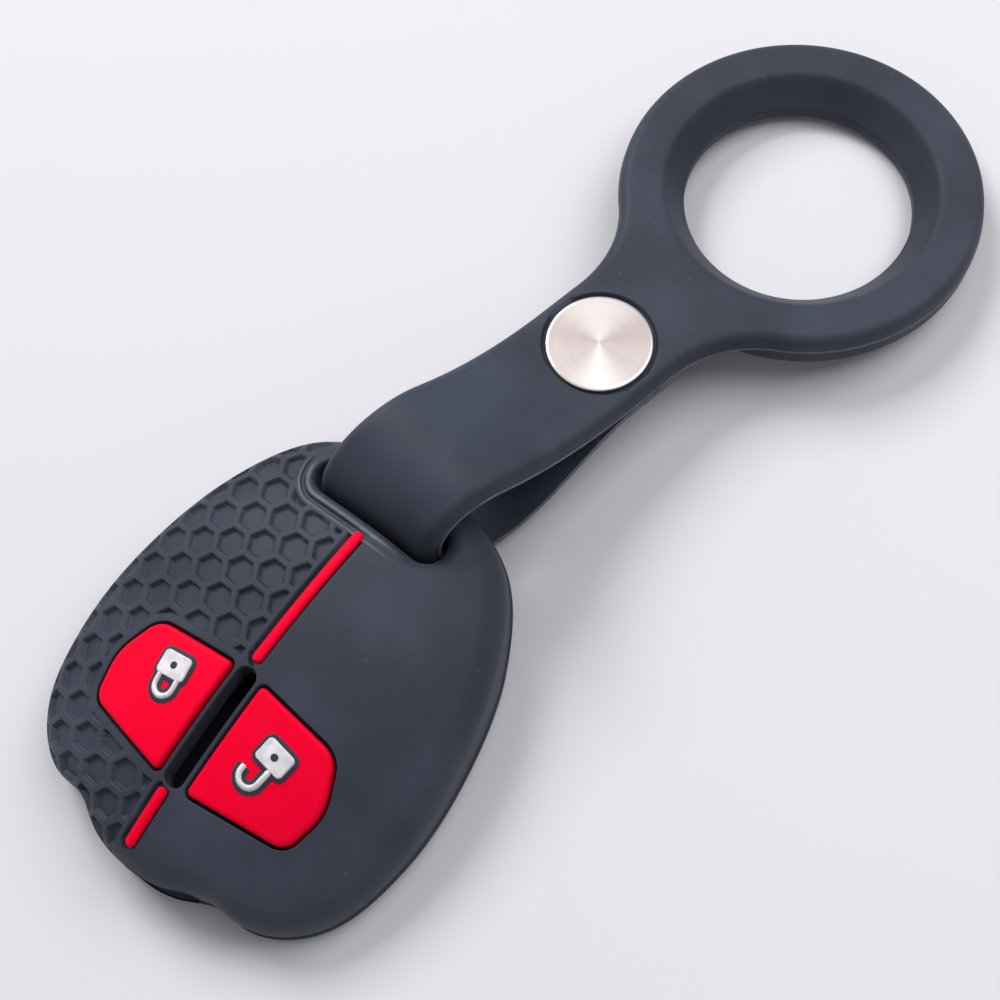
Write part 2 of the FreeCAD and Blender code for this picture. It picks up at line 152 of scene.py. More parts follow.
def navySilicone(name, look):
    # matte moulded silicone: slow colour drift, fine grain in the bump, faint bright dust, and a pale edge
    # colour where the mesh marks an edge, standing for wear along the edge together with a painted highlight on
    # it
    material, shader, place = newMaterial(name)
    drift = place.noise(90.0, 3.0).step(0.35, 0.68)
    dust = place.noise(900.0, 1.0).step(0.74, 0.80)
    colour = drift.blend(rgb(*look["deep"]), rgb(*look["pale"]))
    colour = (dust * look["dustShare"]).blend(colour, rgb(*look["dust"]))
    # pale edge colour from the mesh's mark: wear together with a painted highlight
    worn = place.node("ShaderNodeAttribute", {"attribute_name": "worn"}, out=2)
    colour = (worn * (place.noise(700.0, 3.0) * 0.9)).clamped().blend(colour, rgb(*look["worn"]))
    grain = place.noise(look["grain"], 2.0)
    smear = place.noise(160.0, 4.0)
    bump = grain.bumped(look["grainStrength"], look["grainHeight"] * mm)
    feed(shader, BaseColor=colour, Roughness=look["rough"] - 0.05 + smear * 0.13 + dust * 0.1, Normal=bump)
    feed(shader, SpecularIORLevel=look["specular"], SheenWeight=look["sheen"],
         SheenRoughness=look["sheenRough"])
    return material


redLook = {"deep": (250, 0, 46), "pale": (255, 0, 52), "rough": 0.5, "grain": 4200.0, "grainHeight": 0.05,
           "grainStrength": 0.3, "specular": 0.06}


def redSilicone(name, look):
    # matte red silicone with a soft mottle and the same fine grain
    material, shader, place = newMaterial(name)
    colour = place.noise(260.0, 3.0).step(0.3, 0.7).blend(rgb(*look["deep"]), rgb(*look["pale"]))
    bump = place.noise(look["grain"], 2.0).bumped(look["grainStrength"], look["grainHeight"] * mm)
    feed(shader, BaseColor=colour, Roughness=look["rough"] - 0.04 + place.noise(300.0, 3.0) * 0.1, Normal=bump)
    feed(shader, SpecularIORLevel=look["specular"])
    return material


inkLook = {"dull": (214, 211, 216), "bright": (243, 241, 245)}


def whiteInk(name, look):
    # thick white silicone print, a little uneven in colour and gloss
    material, shader, place = newMaterial(name)
    colour = place.noise(800.0, 2.0).step(0.3, 0.7).blend(rgb(*look["dull"]), rgb(*look["bright"]))
    feed(shader, BaseColor=colour, Roughness=0.42 + place.noise(1500.0, 2.0) * 0.12)
    return material


navy = navySilicone("navySilicone", navyLook)
red = redSilicone("redSilicone", redLook)
white = whiteInk("whiteInk", inkLook)
print("materials ready")

for nodeName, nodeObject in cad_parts.items():
    finish = red if nodeName in ("lock_pad", "unlock_pad", "upper_stripe", "lower_stripe") else navy
    nodeObject.data.materials.clear()
    nodeObject.data.materials.append(finish)


# plan shapes, in millimetres seen from the front

def splineLoop(points, count):
    # closed cubic spline through points: second derivatives from the periodic three-term system
    points = np.asarray(points, float)
    ahead = np.roll(points, -1, 0)
    step = np.hypot(*(ahead - points).T)
    back = np.roll(step, 1)
    n = len(points)
    rows = np.arange(n)
    system = np.zeros((n, n))
    system[rows, rows] = 2 * (step + back)
    system[rows, (rows + 1) % n] = step
    system[rows, (rows - 1) % n] = back
    right = 6 * ((ahead - points) / step[:, None] - np.roll((ahead - points) / step[:, None], 1, 0))
    bend = np.linalg.solve(system, right)
    ends = np.cumsum(step)
    at = np.linspace(0, ends[-1], count, endpoint=False)
    i = np.searchsorted(ends, at, side="right")
    h, t = step[i][:, None], (at - ends[i] + step[i])[:, None]
    j = (i + 1) % n
    slope = (points[j] - points[i]) / h - h * (2 * bend[i] + bend[j]) / 6
    return points[i] + t * slope + t ** 2 * bend[i] / 2 + t ** 3 * (bend[j] - bend[i]) / (6 * h)


def roundedLoop(corners, perCorner):
    # polygon with every corner (x, y, radius) replaced by a tangent arc
    c = np.asarray(corners, float)
    here, radius = c[:, :2], c[:, 2:]
    toBack, toNext = np.roll(here, 1, 0) - here, np.roll(here, -1, 0) - here
    toBack /= np.linalg.norm(toBack, axis=1)[:, None]
    toNext /= np.linalg.norm(toNext, axis=1)[:, None]
    inwards = toBack + toNext
    inwards /= np.linalg.norm(inwards, axis=1)[:, None]
    halfAngle = np.arccos(np.clip((toBack * toNext).sum(1), -1, 1)) / 2
    centre = here + inwards * radius / np.sin(halfAngle)[:, None]
    share = np.linspace(-1, 1, perCorner)[None, :] * (np.pi / 2 - halfAngle)[:, None]
    side = np.sign(toBack[:, 0] * toNext[:, 1] - toBack[:, 1] * toNext[:, 0])[:, None]
    across = np.stack([-inwards[:, 1], inwards[:, 0]], 1)
    arc = -np.cos(share)[..., None] * inwards[:, None] + (side * np.sin(share))[..., None] * across[:, None]
    return (centre[:, None] + radius[:, None] * arc).reshape(-1, 2)


def loopDistance(points, loop, margin=2.6, perRound=8000):
    # signed distance of plan points to a closed loop, negative inside it: nearest segment, crossings for the
    # sign; further than the margin outside the loop's box the distance to that box is enough
    flat = points.reshape(-1, 2)
    past = np.maximum(np.maximum(loop.min(0) - flat, flat - loop.max(0)), 0)
    result = np.hypot(past[:, 0], past[:, 1])
    a, b = loop, np.roll(loop, -1, 0)
    run = b - a
    lean = run[:, 0] / np.where(run[:, 1] == 0, 1e-9, run[:, 1])
    for part in np.array_split(np.flatnonzero(result < margin), 1 + len(flat) // perRound):
        p = flat[part, None]
        t = np.clip(((p - a) * run).sum(2) / np.maximum((run ** 2).sum(1), 1e-12), 0, 1)
        gap = np.sqrt((((a + t[..., None] * run) - p) ** 2).sum(2)).min(1)
        between = (a[:, 1] > p[..., 1]) != (b[:, 1] > p[..., 1])
        inside = (between & (p[..., 0] < a[:, 0] + (p[..., 1] - a[:, 1]) * lean)).sum(1) % 2 == 1
        result[part] = np.where(inside, -gap, gap)
    return result.reshape(points.shape[:-1])


def slotLoop(middle, halfLong, halfWide, upright, perEnd=40):
    # two half circles joined by straight sides; upright puts its length along y
    a = np.linspace(-np.pi / 2, np.pi / 2, perEnd)
    end = np.stack([np.cos(a) * halfWide + halfLong - halfWide, np.sin(a) * halfWide], 1)
    loop = np.concatenate([end, -end])
    return (loop[:, ::-1] if upright else loop) + middle


def evenLoop(loop, count):
    # closed loop sampled evenly along its length
    closed = np.concatenate([loop, loop[:1]])
    length = np.concatenate([[0], np.cumsum(np.hypot(*np.diff(closed, axis=0).T))])
    at = np.linspace(0, length[-1], count, endpoint=False)
    return np.column_stack([np.interp(at, length, closed[:, 0]), np.interp(at, length, closed[:, 1])])


def outwards(loop):
    # unit directions out of an evenly sampled loop
    along = np.roll(loop, -1, 0) - np.roll(loop, 1, 0)
    area = (loop[:, 0] * along[:, 1] - loop[:, 1] * along[:, 0]).sum()
    out = np.stack([along[:, 1], -along[:, 0]], 1) * np.sign(area)
    return out / np.linalg.norm(out, axis=1)[:, None]


def offsetLoop(loop, distance):
    # loop moved out of itself by a distance
    return loop + outwards(loop) * distance


def nearestOn(loop, points):
    # nearest point of a closed loop to each point
    run = np.roll(loop, -1, 0) - loop
    t = np.clip(((points[:, None] - loop) * run).sum(2) / np.maximum((run ** 2).sum(1), 1e-12), 0, 1)
    foot = loop + t[..., None] * run
    best = ((foot - points[:, None]) ** 2).sum(2).argmin(1)
    return foot[np.arange(len(points)), best]


def ease(value, low, high):
    # smooth 0 to 1 between low and high: 3t2 - 2t3
    t = np.clip((value - low) / (high - low), 0, 1)
    return t * t * (3 - 2 * t)


def roundDrop(inset, radius):
    # how far a quarter-round edge falls at a distance inset from the edge
    u = np.clip(radius - inset, 0, radius)
    return radius - np.sqrt(radius ** 2 - u ** 2)


# meshes

def camel(node):
    # piece name from a node name: lock_pad gives lockPad
    first, *rest = node.split("_")
    return first + "".join(word.title() for word in rest)


weldGap = 1e-4 * mm  # closer points are one, which closes the poles


def gridFaces(rows, columns, wrapRows=False, wrapColumns=False):
    # quads of a grid of points stored row by row; a wrapped direction joins its last line to its first
    i = np.arange(rows if wrapRows else rows - 1)[:, None]
    j = np.arange(columns if wrapColumns else columns - 1)[None, :]
    iNext, jNext = (i + 1) % rows, (j + 1) % columns
    return np.stack(np.broadcast_arrays(i * columns + j, i * columns + jNext, iNext * columns + jNext,
                                        iNext * columns + j), -1).reshape(-1, 4)


def makePiece(name, body, finish, points, faces, nodes=(), worn=None):
    # one mesh object at the origin from points in millimetres; nodes are the CAD nodes it stands for, and the
    # last
    # argument is 0 to 1 at each point: how much pale edge colour goes there, standing for wear and a painted
    # highlight
    points = np.asarray(points, float).reshape(-1, 3)
    used = np.unique(faces)
    number = np.zeros(len(points), int)
    number[used] = np.arange(len(used))
    faces = number[faces]
    mesh = bpy.data.meshes.new(name)
    mesh.vertices.add(len(used))
    mesh.vertices.foreach_set("co", (points[used] * mm).ravel())
    mesh.loops.add(faces.size)
    mesh.loops.foreach_set("vertex_index", faces.ravel().astype(np.int32))
    mesh.polygons.add(len(faces))
    mesh.polygons.foreach_set("loop_start", np.arange(0, faces.size, faces.shape[1], dtype=np.int32))
    mesh.polygons.foreach_set("use_smooth", np.full(len(faces), True))
    mesh.update(calc_edges=True)
    mesh.validate()
    if worn is not None:
        paleEdgeLayer = mesh.attributes.new("worn", "FLOAT", "POINT")
        paleEdgeLayer.data.foreach_set("value", worn.ravel()[used].astype(np.float32))
    shell = bmesh.new()
    shell.from_mesh(mesh)
    bmesh.ops.remove_doubles(shell, verts=shell.verts, dist=weldGap)
    shell.to_mesh(mesh)
    shell.free()
    mesh.materials.append(finish)
    piece = bpy.data.objects.new(name, mesh)
    bpy.context.scene.collection.objects.link(piece)
    if body:
        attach(piece, body)
    if nodes:
        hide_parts(*nodes)
    print(name, len(faces), "faces")
    return piece


def normalsOf(points):
    # unit normals of a grid of points from its two difference directions
    n = np.cross(np.gradient(points, axis=1), np.gradient(points, axis=0))
    return n / np.maximum(np.linalg.norm(n, axis=2), 1e-9)[..., None]


def upward(points, faces):
    # face order turned where needed so that the mean normal points up
    a, b, c = (points[faces[:, i]] for i in (0, 1, 2))
    return faces if np.cross(b - a, c - a)[:, 2].sum() > 0 else faces[:, ::-1]


def discGrid(columns, rows):
    # square grid pulled into a unit disc, even all over: (a sqrt(1 - b2/2), b sqrt(1 - a2/2))
    a, b = np.meshgrid(columns, rows)
    x, y = a * np.sqrt(1 - b * b / 2), b * np.sqrt(1 - a * a / 2)
    return np.hypot(x, y), np.arctan2(y, x)


# cover

cover = {
    "halfWidth": 22.9, "ringEnd": 29.0, "chin": 23.4, "height": 14.8, "crossRadius": 40.0, "lengthRadius": 85.0,
    "crownY": 8.0, "frontRound": 4.5, "backRound": 2.4, "heelStart": 12.5, "heelAngle": 17.0, "wall": 2.0,
    "seamZ": 2.6, "seamTop": 0.16, "seamGroove": [(0.16, 0.02), (0.10, -0.10)], "lipRows": (-0.16, -0.3),
    "lip": 0.22, "seamOverHeel": 1.6, "seamUnderEdge": 0.25, "backEdgeLeast": 0.35,
    "cavityEnd": 15.2, "cavityFloor": 2.2, "cavityInset": 1.3, "cavityDrop": 0.4, "cavityLeast": 1.0,
    "ringEndShares": [(0.29, 0.976), (0.565, 0.88), (0.77, 0.665), (0.895, 0.42), (0.966, 0.18)],
    "chinShares": [(1.0, 0.10), (0.977, 0.38), (0.90, 0.63), (0.735, 0.81), (0.565, 0.875), (0.415, 0.88),
                   (0.235, 0.96)],
}
slotShape = {"middle": (-0.9, 22.45), "halfLong": 8.6, "halfWide": 2.25, "rim": 2.0, "backRim": 0.7,
             "backStep": 0.35, "edgeRound": 0.5, "endRound": 1.3, "bandAt": 0.6, "bandHigh": 0.16,
             "grooveAt": 1.35, "grooveDeep": 0.3, "wornAt": (0.75, 1.75)}
slit = {"middle": (0.0, -6.5), "halfLong": 7.3, "halfWide": 1.2, "rim": 0.22, "round": 0.18, "deep": 2.6}
padShape = {
    "innerX": 2.05, "width": 12.65, "topY": 0.1, "length": 13.4, "proud": 0.35, "edge": 0.5, "skirt": 1.6,
    "gap": 0.36, "rim": 0.55, "round": 0.15, "grid": 150, "skirtShare": 0.06,
    "corners": [(0.0, 0.0, 0.04), (0.82, 0.08, 0.22), (1.0, 0.48, 0.45), (0.91, 0.875, 0.16), (0.0, 1.0, 0.04)],
}
stripes = {"x": -0.2, "halfWide": 0.6, "proud": 0.42, "upper": (1.5, 19.0), "lower": (-21.2, -14.15),
           "groove": 0.45, "grooveDeep": 0.7, "grooveEdge": 0.12, "wrap": 0.72}
hexes = {"pitch": 3.66, "web": 0.68, "stretch": 1.06, "skew": 0.04, "firstX": -5.1, "firstY": 2.5, "depth": 0.6,
         "slope": 0.2, "edgeBand": 1.9, "stripeBand": 1.7, "padBand": 1.2, "slotBand": 0.2, "alignReach": 0.05}
mouth = {"halfWide": 8.5, "low": 2.2, "high": 7.4, "round": 2.0, "innerY": -19.6, "chinSide": -14}
coverMiddle = np.array([0.0, 1.0])
lap = 0.03  # how far a strip runs on past its edge, under its neighbour
farOff = 99.0  # a plan place that lies in no opening


def outlinePoints(c):
    # outline's points from shares of the half width and of the two lengths, then mirrored
    ringHalf = [(x * c["halfWidth"], y * c["ringEnd"]) for x, y in c["ringEndShares"]]
    chinHalf = [(x * c["halfWidth"], -y * c["chin"]) for x, y in c["chinShares"]]
    half = ringHalf + chinHalf
    return [(0, c["ringEnd"])] + half + [(0, -c["chin"])] + [(-x, y) for x, y in reversed(half)]


def padCorners(side, p):
    # pad's corners (x, y, radius) from shares of its width and length
    return [(side * (p["innerX"] + x * p["width"]), p["topY"] - y * p["length"], r * p["length"])
            for x, y, r in p["corners"]]


def stripeEdge(span):
    # plan of a stripe: a slot shape between two places along y
    low, high = span
    return slotLoop((stripes["x"], (low + high) / 2), (high - low) / 2, stripes["halfWide"], True, 20)


coverLoop = splineLoop(outlinePoints(cover), 1440)
slotEdge = evenLoop(slotLoop(slotShape["middle"], slotShape["halfLong"], slotShape["halfWide"], False), 400)
slitEdge = evenLoop(slotLoop(slit["middle"], slit["halfLong"], slit["halfWide"], True), 300)
padEdges = {"lock_pad": evenLoop(roundedLoop(padCorners(-1, padShape), 16)[::-1], 480),
            "unlock_pad": evenLoop(roundedLoop(padCorners(1, padShape), 16), 480)}
mouthCorners = [(side * mouth["halfWide"], mouth[level], mouth["round"])
                for side, level in ((-1, "low"), (1, "low"), (1, "high"), (-1, "high"))]
mouthEdge = evenLoop(roundedLoop(mouthCorners, 16), 240)


def crownZ(plan, proud=0.0):
    # domed front: a ring-shaped surface, curved tightly across and gently along
    x, y = plan[..., 0], plan[..., 1]
    reach = np.sqrt((cover["crossRadius"] + proud) ** 2 - x * x) + cover["lengthRadius"] - cover["crossRadius"]
    return cover["height"] - cover["lengthRadius"] + np.sqrt(reach ** 2 - (y - cover["crownY"]) ** 2)


def edgeReach(loop, centre, angle):
    # distance from centre to the loop in each direction
    away = loop - centre
    order = np.argsort(np.arctan2(away[:, 1], away[:, 0]))
    turn, far = np.arctan2(away[order, 1], away[order, 0]), np.hypot(away[order, 0], away[order, 1])
    return np.interp(angle, turn, far, period=2 * np.pi)


def edgeShape(angle):
    # in each direction from the middle: reach of the outline, the direction, the turn of the round edge, and
    # how much longer the way over the round edge is than its plan
    r = cover["frontRound"]
    reach = edgeReach(coverLoop, coverMiddle, angle)
    out = np.stack([np.cos(angle), np.sin(angle)], -1)
    back, step = 0.55 * r, 0.1  # where the crown's slope is read, and over what length
    inner, ahead = (crownZ(coverMiddle + out * (reach - far)[..., None]) for far in (back, back - step))
    swing = np.pi / 2 - np.arctan((inner - ahead) / step)
    return reach, out, swing, r * (swing - 1 + np.cos(swing))


def frontAt(unrolled):
    # front surface at places of its unrolled plan: the crown, then a round edge that ends upright at the side
    # wall; also the distance w from that end, measured over the surface
    r = cover["frontRound"]
    away = unrolled - coverMiddle
    reach, out, swing, excess = edgeShape(np.arctan2(away[..., 1], away[..., 0]))
    w = np.maximum(reach + excess - np.hypot(away[..., 0], away[..., 1]), 0)
    phi = np.minimum(w / r, swing)
    onRound = w < r * swing
    plan = coverMiddle + out * (reach - np.where(onRound, r * (1 - np.cos(phi)), w - excess))[..., None]
    join = coverMiddle + out * (reach - r * (1 - np.cos(swing)))[..., None]
    z = np.where(onRound, crownZ(join) - r * (np.sin(swing) - np.sin(phi)), crownZ(plan))
    return np.concatenate([plan, z[..., None]], -1), w


def frontPoint(plan):
    # front surface over a plan place, by way of its unrolled place
    r = cover["frontRound"]
    away = plan - coverMiddle
    reach, out, swing, excess = edgeShape(np.arctan2(away[..., 1], away[..., 0]))
    inset = np.maximum(reach - np.hypot(away[..., 0], away[..., 1]), 0)
    phi = np.arccos(np.clip(1 - inset / r, -1, 1))
    w = np.where(phi < swing, r * phi, inset + excess)
    return frontAt(coverMiddle + out * (reach + excess - w)[..., None])[0]


def hexField(flat):
    # distance to the nearest cell's walls, negative inside: two lattices of cells, every second column shifted,
    # the whole a little stretched across and skewed
    pitch, column = hexes["pitch"], hexes["pitch"] * np.sqrt(3) / 2
    across = flat[..., 0] - hexes["firstX"]
    along = flat[..., 1] - hexes["firstY"] + hexes["skew"] * across
    best = np.full(flat.shape[:-1], 9.0)
    for shift in (0, 1):
        dx = (across / hexes["stretch"] + shift * column + column) % (2 * column) - column
        dy = (along - shift * pitch / 2 + pitch / 2) % pitch - pitch / 2
        best = np.minimum(best, np.maximum(np.abs(dy), np.abs(dx) * np.sqrt(3) / 2 + np.abs(dy) / 2))
    return best - (pitch - hexes["web"]) / 2


def cellGap(unrolled):
    # cells of the honeycomb cut by plain borders: beside the stripes, round the pad and the slot, at the side
    # wall; the largest of these distances counts
    base, w = frontAt(unrolled)
    plan = base[..., :2]
    border = [unrolled[..., 0] - stripes["x"] + hexes["stripeBand"],
              hexes["padBand"] - loopDistance(plan, padEdges["lock_pad"][::4]),
              slotShape["rim"] + hexes["slotBand"] - loopDistance(plan, slotEdge[::4]), hexes["edgeBand"] - w]
    return np.maximum.reduce([hexField(unrolled), *border])


def alignToCells(unrolled, reach):
    # grid points close to a cell's upper or lower wall edge are moved on to it, down the distance's slope
    gap = cellGap(unrolled)
    steps = 0.01 * np.eye(2)
    for level in (0.0, -hexes["slope"]):
        near = np.abs(gap - level) < reach
        p = unrolled[near]
        tilt = np.stack([cellGap(p + step) - cellGap(p - step) for step in steps], -1)
        tilt /= np.maximum(np.linalg.norm(tilt, axis=-1), 1e-6)[:, None]
        unrolled[near] = p - tilt * (gap[near] - level)[:, None]
    return unrolled


def heelZ(y):
    # back of the cover: flat, then a slope up to the bar
    return np.maximum(0.0, (y - cover["heelStart"]) * math.tan(math.radians(cover["heelAngle"])))


def cutOpening(plan, faces, loop, keep):
    # drops the faces inside a loop; corners of the rest that lie inside move to the loop's nearest point
    gap = loopDistance(plan, loop)
    inside = gap < 0
    keep &= ~inside[faces].all(1)
    moved = np.zeros(len(plan), bool)
    moved[faces[keep]] = True
    moved &= inside
    plan[moved] = nearestOn(loop, plan[moved])
    return moved


def makeFront(name, columns, rows, withCells, nodes=()):
    # a half of the front: an even grid on the unrolled plan, sunk by the cells and the groove under the stripes
    share, angle = discGrid(columns, rows)
    reach, out, _, excess = edgeShape(angle)
    unrolled = coverMiddle + out * (np.minimum(share, 1) * (reach + excess))[..., None]
    normal = normalsOf(frontAt(unrolled)[0])
    normal *= np.sign(normal[len(rows) // 2, len(columns) // 2, 2])
    if withCells:
        unrolled[1:-1, 1:-1] = alignToCells(unrolled[1:-1, 1:-1].copy(), hexes["alignReach"])
    base = frontAt(unrolled)[0]
    upper, lower = stripeEdge(stripes["upper"]), stripeEdge(stripes["lower"])
    stripeGap = np.minimum(loopDistance(base[..., :2], upper), loopDistance(base[..., :2], lower))
    wide = stripes["groove"] if withCells else 0.0
    depth = stripes["grooveDeep"] * ease(-stripeGap, -wide - stripes["grooveEdge"], -wide)
    if withCells:
        depth = np.maximum(depth, hexes["depth"] * np.clip(-cellGap(unrolled) / hexes["slope"], 0, 1))
    flat = base.reshape(-1, 3)
    plan = flat[:, :2].copy()
    faces = gridFaces(len(rows), len(columns))
    keep = np.ones(len(faces), bool)
    moved = np.zeros(len(plan), bool)
    for loop, rim in ((slotEdge, slotShape["rim"]), (slitEdge, slit["rim"]),
                      *[(edge, padShape["rim"]) for edge in padEdges.values()]):
        moved |= cutOpening(plan, faces, offsetLoop(loop, rim), keep)
    points = flat - normal.reshape(-1, 3) * depth.reshape(-1, 1)
    points[moved] = frontPoint(plan[moved])
    keep = cutMouth(points, faces, keep)
    makePiece(name, "cover", navy, points, upward(points, faces[keep]), nodes)


def cutMouth(points, faces, keep):
    # the mouth's outline, seen from the chin, cut out of a mesh
    seen = points[:, [0, 2]].copy()
    seen[points[:, 1] >= mouth["chinSide"]] = farOff
    moved = cutOpening(seen, faces, mouthEdge, keep)
    points[np.ix_(moved, [0, 2])] = seen[moved]
    return keep


def makeRim(name, loop, offsets, drops, wall, worn=None, turnOver=False, wallRows=13):
    # strip round an opening: rows at offsets out from the loop, dropped below the front, then a wall straight
    # down to the heights that wall gives
    plan = loop[None] + outwards(loop)[None] * offsets[..., None]
    top = frontPoint(plan)
    top[..., 2] -= drops
    share = np.linspace(0, 1, wallRows + 1)[1:, None]
    end = top[-1]
    down = np.repeat(end[None], len(share), 0)
    down[..., 2] = end[:, 2] * (1 - share) + wall(end) * share
    points = np.concatenate([top, down])
    if turnOver:  # a flat border on the back
        steps = np.array([0.0, slotShape["backStep"], slotShape["backRim"] + lap])[:, None, None]
        back = loop[None] + outwards(loop)[None] * steps
        points = np.concatenate([points, np.dstack([back, heelZ(back[..., 1]) - 0.01])])
    faces = gridFaces(len(points), len(loop), wrapColumns=True)
    if worn is not None:
        worn = np.concatenate([worn, np.zeros((len(points) - len(worn), len(loop)))])
    makePiece(name, "cover", navy, points, upward(points.reshape(-1, 3), faces), worn=worn)


def makeRims():
    # slot: a raised band and a groove outside it along its left part, a wider roll-over at its right end
    slot, middleY = slotShape, slotShape["middle"][1]
    x, y = slotEdge[:, 0], slotEdge[:, 1]
    offsets = np.linspace(slot["rim"] + lap, 0, 44)[:, None] + 0 * x
    band = ease(-x, -1.5, 2.5) * ease(-y, -middleY - 1.0, -middleY + 0.5)
    wide = slot["edgeRound"] + slot["endRound"] * ease(x, 1.0, 6.0)
    drops = roundDrop(offsets, wide)
    drops = drops - slot["bandHigh"] * band * ease(np.abs(offsets - slot["bandAt"]), 0.5, 0.25)
    drops += slot["grooveDeep"] * band * ease(np.abs(offsets - slot["grooveAt"]), 0.35, 0.12)
    drops[0] += 0.01
    # pale edge colour on the chin side of the band and the groove's outer edge: wear together with a painted
    # highlight where light catches these edges
    chinSide = ease(-y, -middleY - 0.5, -middleY + 1.0) * ease(-x, -5.5, -1.0)
    inner, outer = (-np.abs(offsets - at) for at in slot["wornAt"])
    worn = chinSide * (ease(inner, -0.3, -0.05) + 0.7 * ease(outer, -0.2, -0.05))
    makeRim("slotRim", slotEdge, offsets, drops, lambda end: heelZ(end[:, 1]), worn, turnOver=True)
    offsets = np.linspace(slit["rim"] + lap, 0, 10)[:, None] + np.zeros(len(slitEdge))
    makeRim("slitRim", slitEdge, offsets, roundDrop(offsets, slit["round"]),
            lambda end: end[:, 2] - slit["deep"])
    for node, edge in padEdges.items():
        offsets = np.linspace(padShape["rim"] + lap, padShape["gap"], 9)[:, None] + np.zeros(len(edge))
        drops = roundDrop(offsets - padShape["gap"], padShape["round"])
        makeRim(camel(node) + "Seat", edge, offsets, drops, lambda end: end[:, 2] - padShape["skirt"])


def makeCoverBack():
    # side wall from the front's edge down to the seam, a small lip, the round back edge, the flat back and its
    # heel, as rings of (inset, height) round the outline
    angle = np.linspace(-np.pi, np.pi, 900, endpoint=False)
    reach, out, _, excess = edgeShape(angle)
    top = frontAt(coverMiddle + out * (reach + excess)[:, None])[0][:, 2]
    heel = heelZ(coverMiddle[1] + out[:, 1] * reach)
    seam = np.minimum(np.maximum(cover["seamZ"], heel + cover["seamOverHeel"]), top - cover["seamUnderEdge"])
    bend = np.minimum(cover["backRound"], seam - heel - cover["backEdgeLeast"])
    none, lip = np.zeros_like(reach), np.full_like(reach, cover["lip"])
    rings = [(none, top + (seam + cover["seamTop"] - top) * share) for share in np.linspace(0, 1, 24)]
    rings += [(none + inset, seam + high) for inset, high in cover["seamGroove"]]
    rings += [(-lip, seam + high) for high in cover["lipRows"]]
    rings += [(bend * (1 - np.cos(phi)) - lip * np.cos(phi), heel + bend * (1 - np.sin(phi)))
              for phi in np.linspace(0, np.pi / 2, 10)]
    points = [np.column_stack([coverMiddle + out * (reach - inset)[:, None], z]) for inset, z in rings]
    for share in np.linspace(0.985, 0.0, 70):
        plan = coverMiddle + out * ((reach - bend) * share)[:, None]
        points.append(np.column_stack([plan, heelZ(plan[:, 1])]))
    points = np.concatenate(points)
    faces = gridFaces(len(points) // len(angle), len(angle), wrapColumns=True)
    keep = np.ones(len(faces), bool)
    plan = points[:, :2].copy()
    plan[:len(rings) * len(angle)] = farOff
    moved = cutOpening(plan, faces, offsetLoop(slotEdge, slotShape["backRim"]), keep)
    points[moved, :2] = plan[moved]
    points[moved, 2] = heelZ(points[moved, 1])
    keep = cutMouth(points, faces, keep)
    makePiece("coverBack", "cover", navy, points, upward(points, faces[keep])[:, ::-1])


def makeInside():
    # dark hollow behind the mouth and the slit: a flat floor out to the walls, then back in under the crown;
    # and the mouth's wall, carried straight in from where its outline meets the chin
    rows, sides = 24, 240
    angle = np.linspace(-np.pi, np.pi, sides, endpoint=False)
    reach, out = edgeShape(angle)[:2]
    edge = coverMiddle + out * (reach - cover["wall"] - cover["cavityInset"])[:, None]
    edge[:, 1] = np.minimum(edge[:, 1], cover["cavityEnd"])
    shares = np.concatenate([np.linspace(0, 1, rows), np.linspace(1, 0, rows)])[:, None, None]
    plan = coverMiddle + (edge - coverMiddle)[None] * shares
    ceiling = crownZ(plan) - cover["wall"] - cover["cavityDrop"]
    z = np.maximum(ceiling, cover["cavityFloor"] + cover["cavityLeast"])
    z[:rows] = cover["cavityFloor"]
    points = np.dstack([plan, z])
    faces = gridFaces(2 * rows, sides, wrapColumns=True)
    openPlan = points.reshape(-1, 3)[:, :2].copy()
    openPlan[:rows * sides] = farOff
    keep = np.ones(len(faces), bool)
    moved = cutOpening(openPlan, faces, offsetLoop(slitEdge, 0.1), keep)
    inside = points.reshape(-1, 3).copy()
    inside[moved, :2] = openPlan[moved]
    inMouth = (loopDistance(inside[:, [0, 2]], mouthEdge) < 0) & (inside[:, 1] < mouth["chinSide"])
    keep &= ~inMouth[faces].any(1)
    makePiece("coverInside", "cover", navy, inside, upward(inside, faces[keep]))
    x, z = mouthEdge[:, 0], mouthEdge[:, 1]
    chin = coverLoop[(coverLoop[:, 1] < -15) & (np.abs(coverLoop[:, 0]) < 14)]
    chin = chin[np.argsort(chin[:, 0])]
    outer = np.column_stack([x, np.interp(x, chin[:, 0], chin[:, 1])]) - coverMiddle
    reach, out, _, excess = edgeShape(np.arctan2(outer[:, 1], outer[:, 0]))
    top = frontAt(coverMiddle + out * (reach + excess)[:, None])[0][:, 2]
    r = cover["frontRound"]
    inset = r * (1 - np.sqrt(1 - np.clip((z - top) / r, 0, 1) ** 2))
    start = outer[:, 1] + coverMiddle[1] - inset * out[:, 1] - lap
    share = np.linspace(0, 1, 10)[:, None]
    y = start * (1 - share) + mouth["innerY"] * share
    wall = np.dstack([np.broadcast_to(x, y.shape), y, np.broadcast_to(z, y.shape)])
    faces = gridFaces(10, len(x), wrapColumns=True)[:, ::-1]
    makePiece("mouthWall", "cover", navy, wall, faces)


makeFront("coverFront", np.linspace(-1, 0, 205), np.linspace(-1, 1, 470), True, ["cover_shell"])
makeFront("coverFrontPlain", np.linspace(0, 1, 120), np.linspace(-1, 1, 270), False)
makeRims()
makeCoverBack()
makeInside()


# pads, stripes and symbols

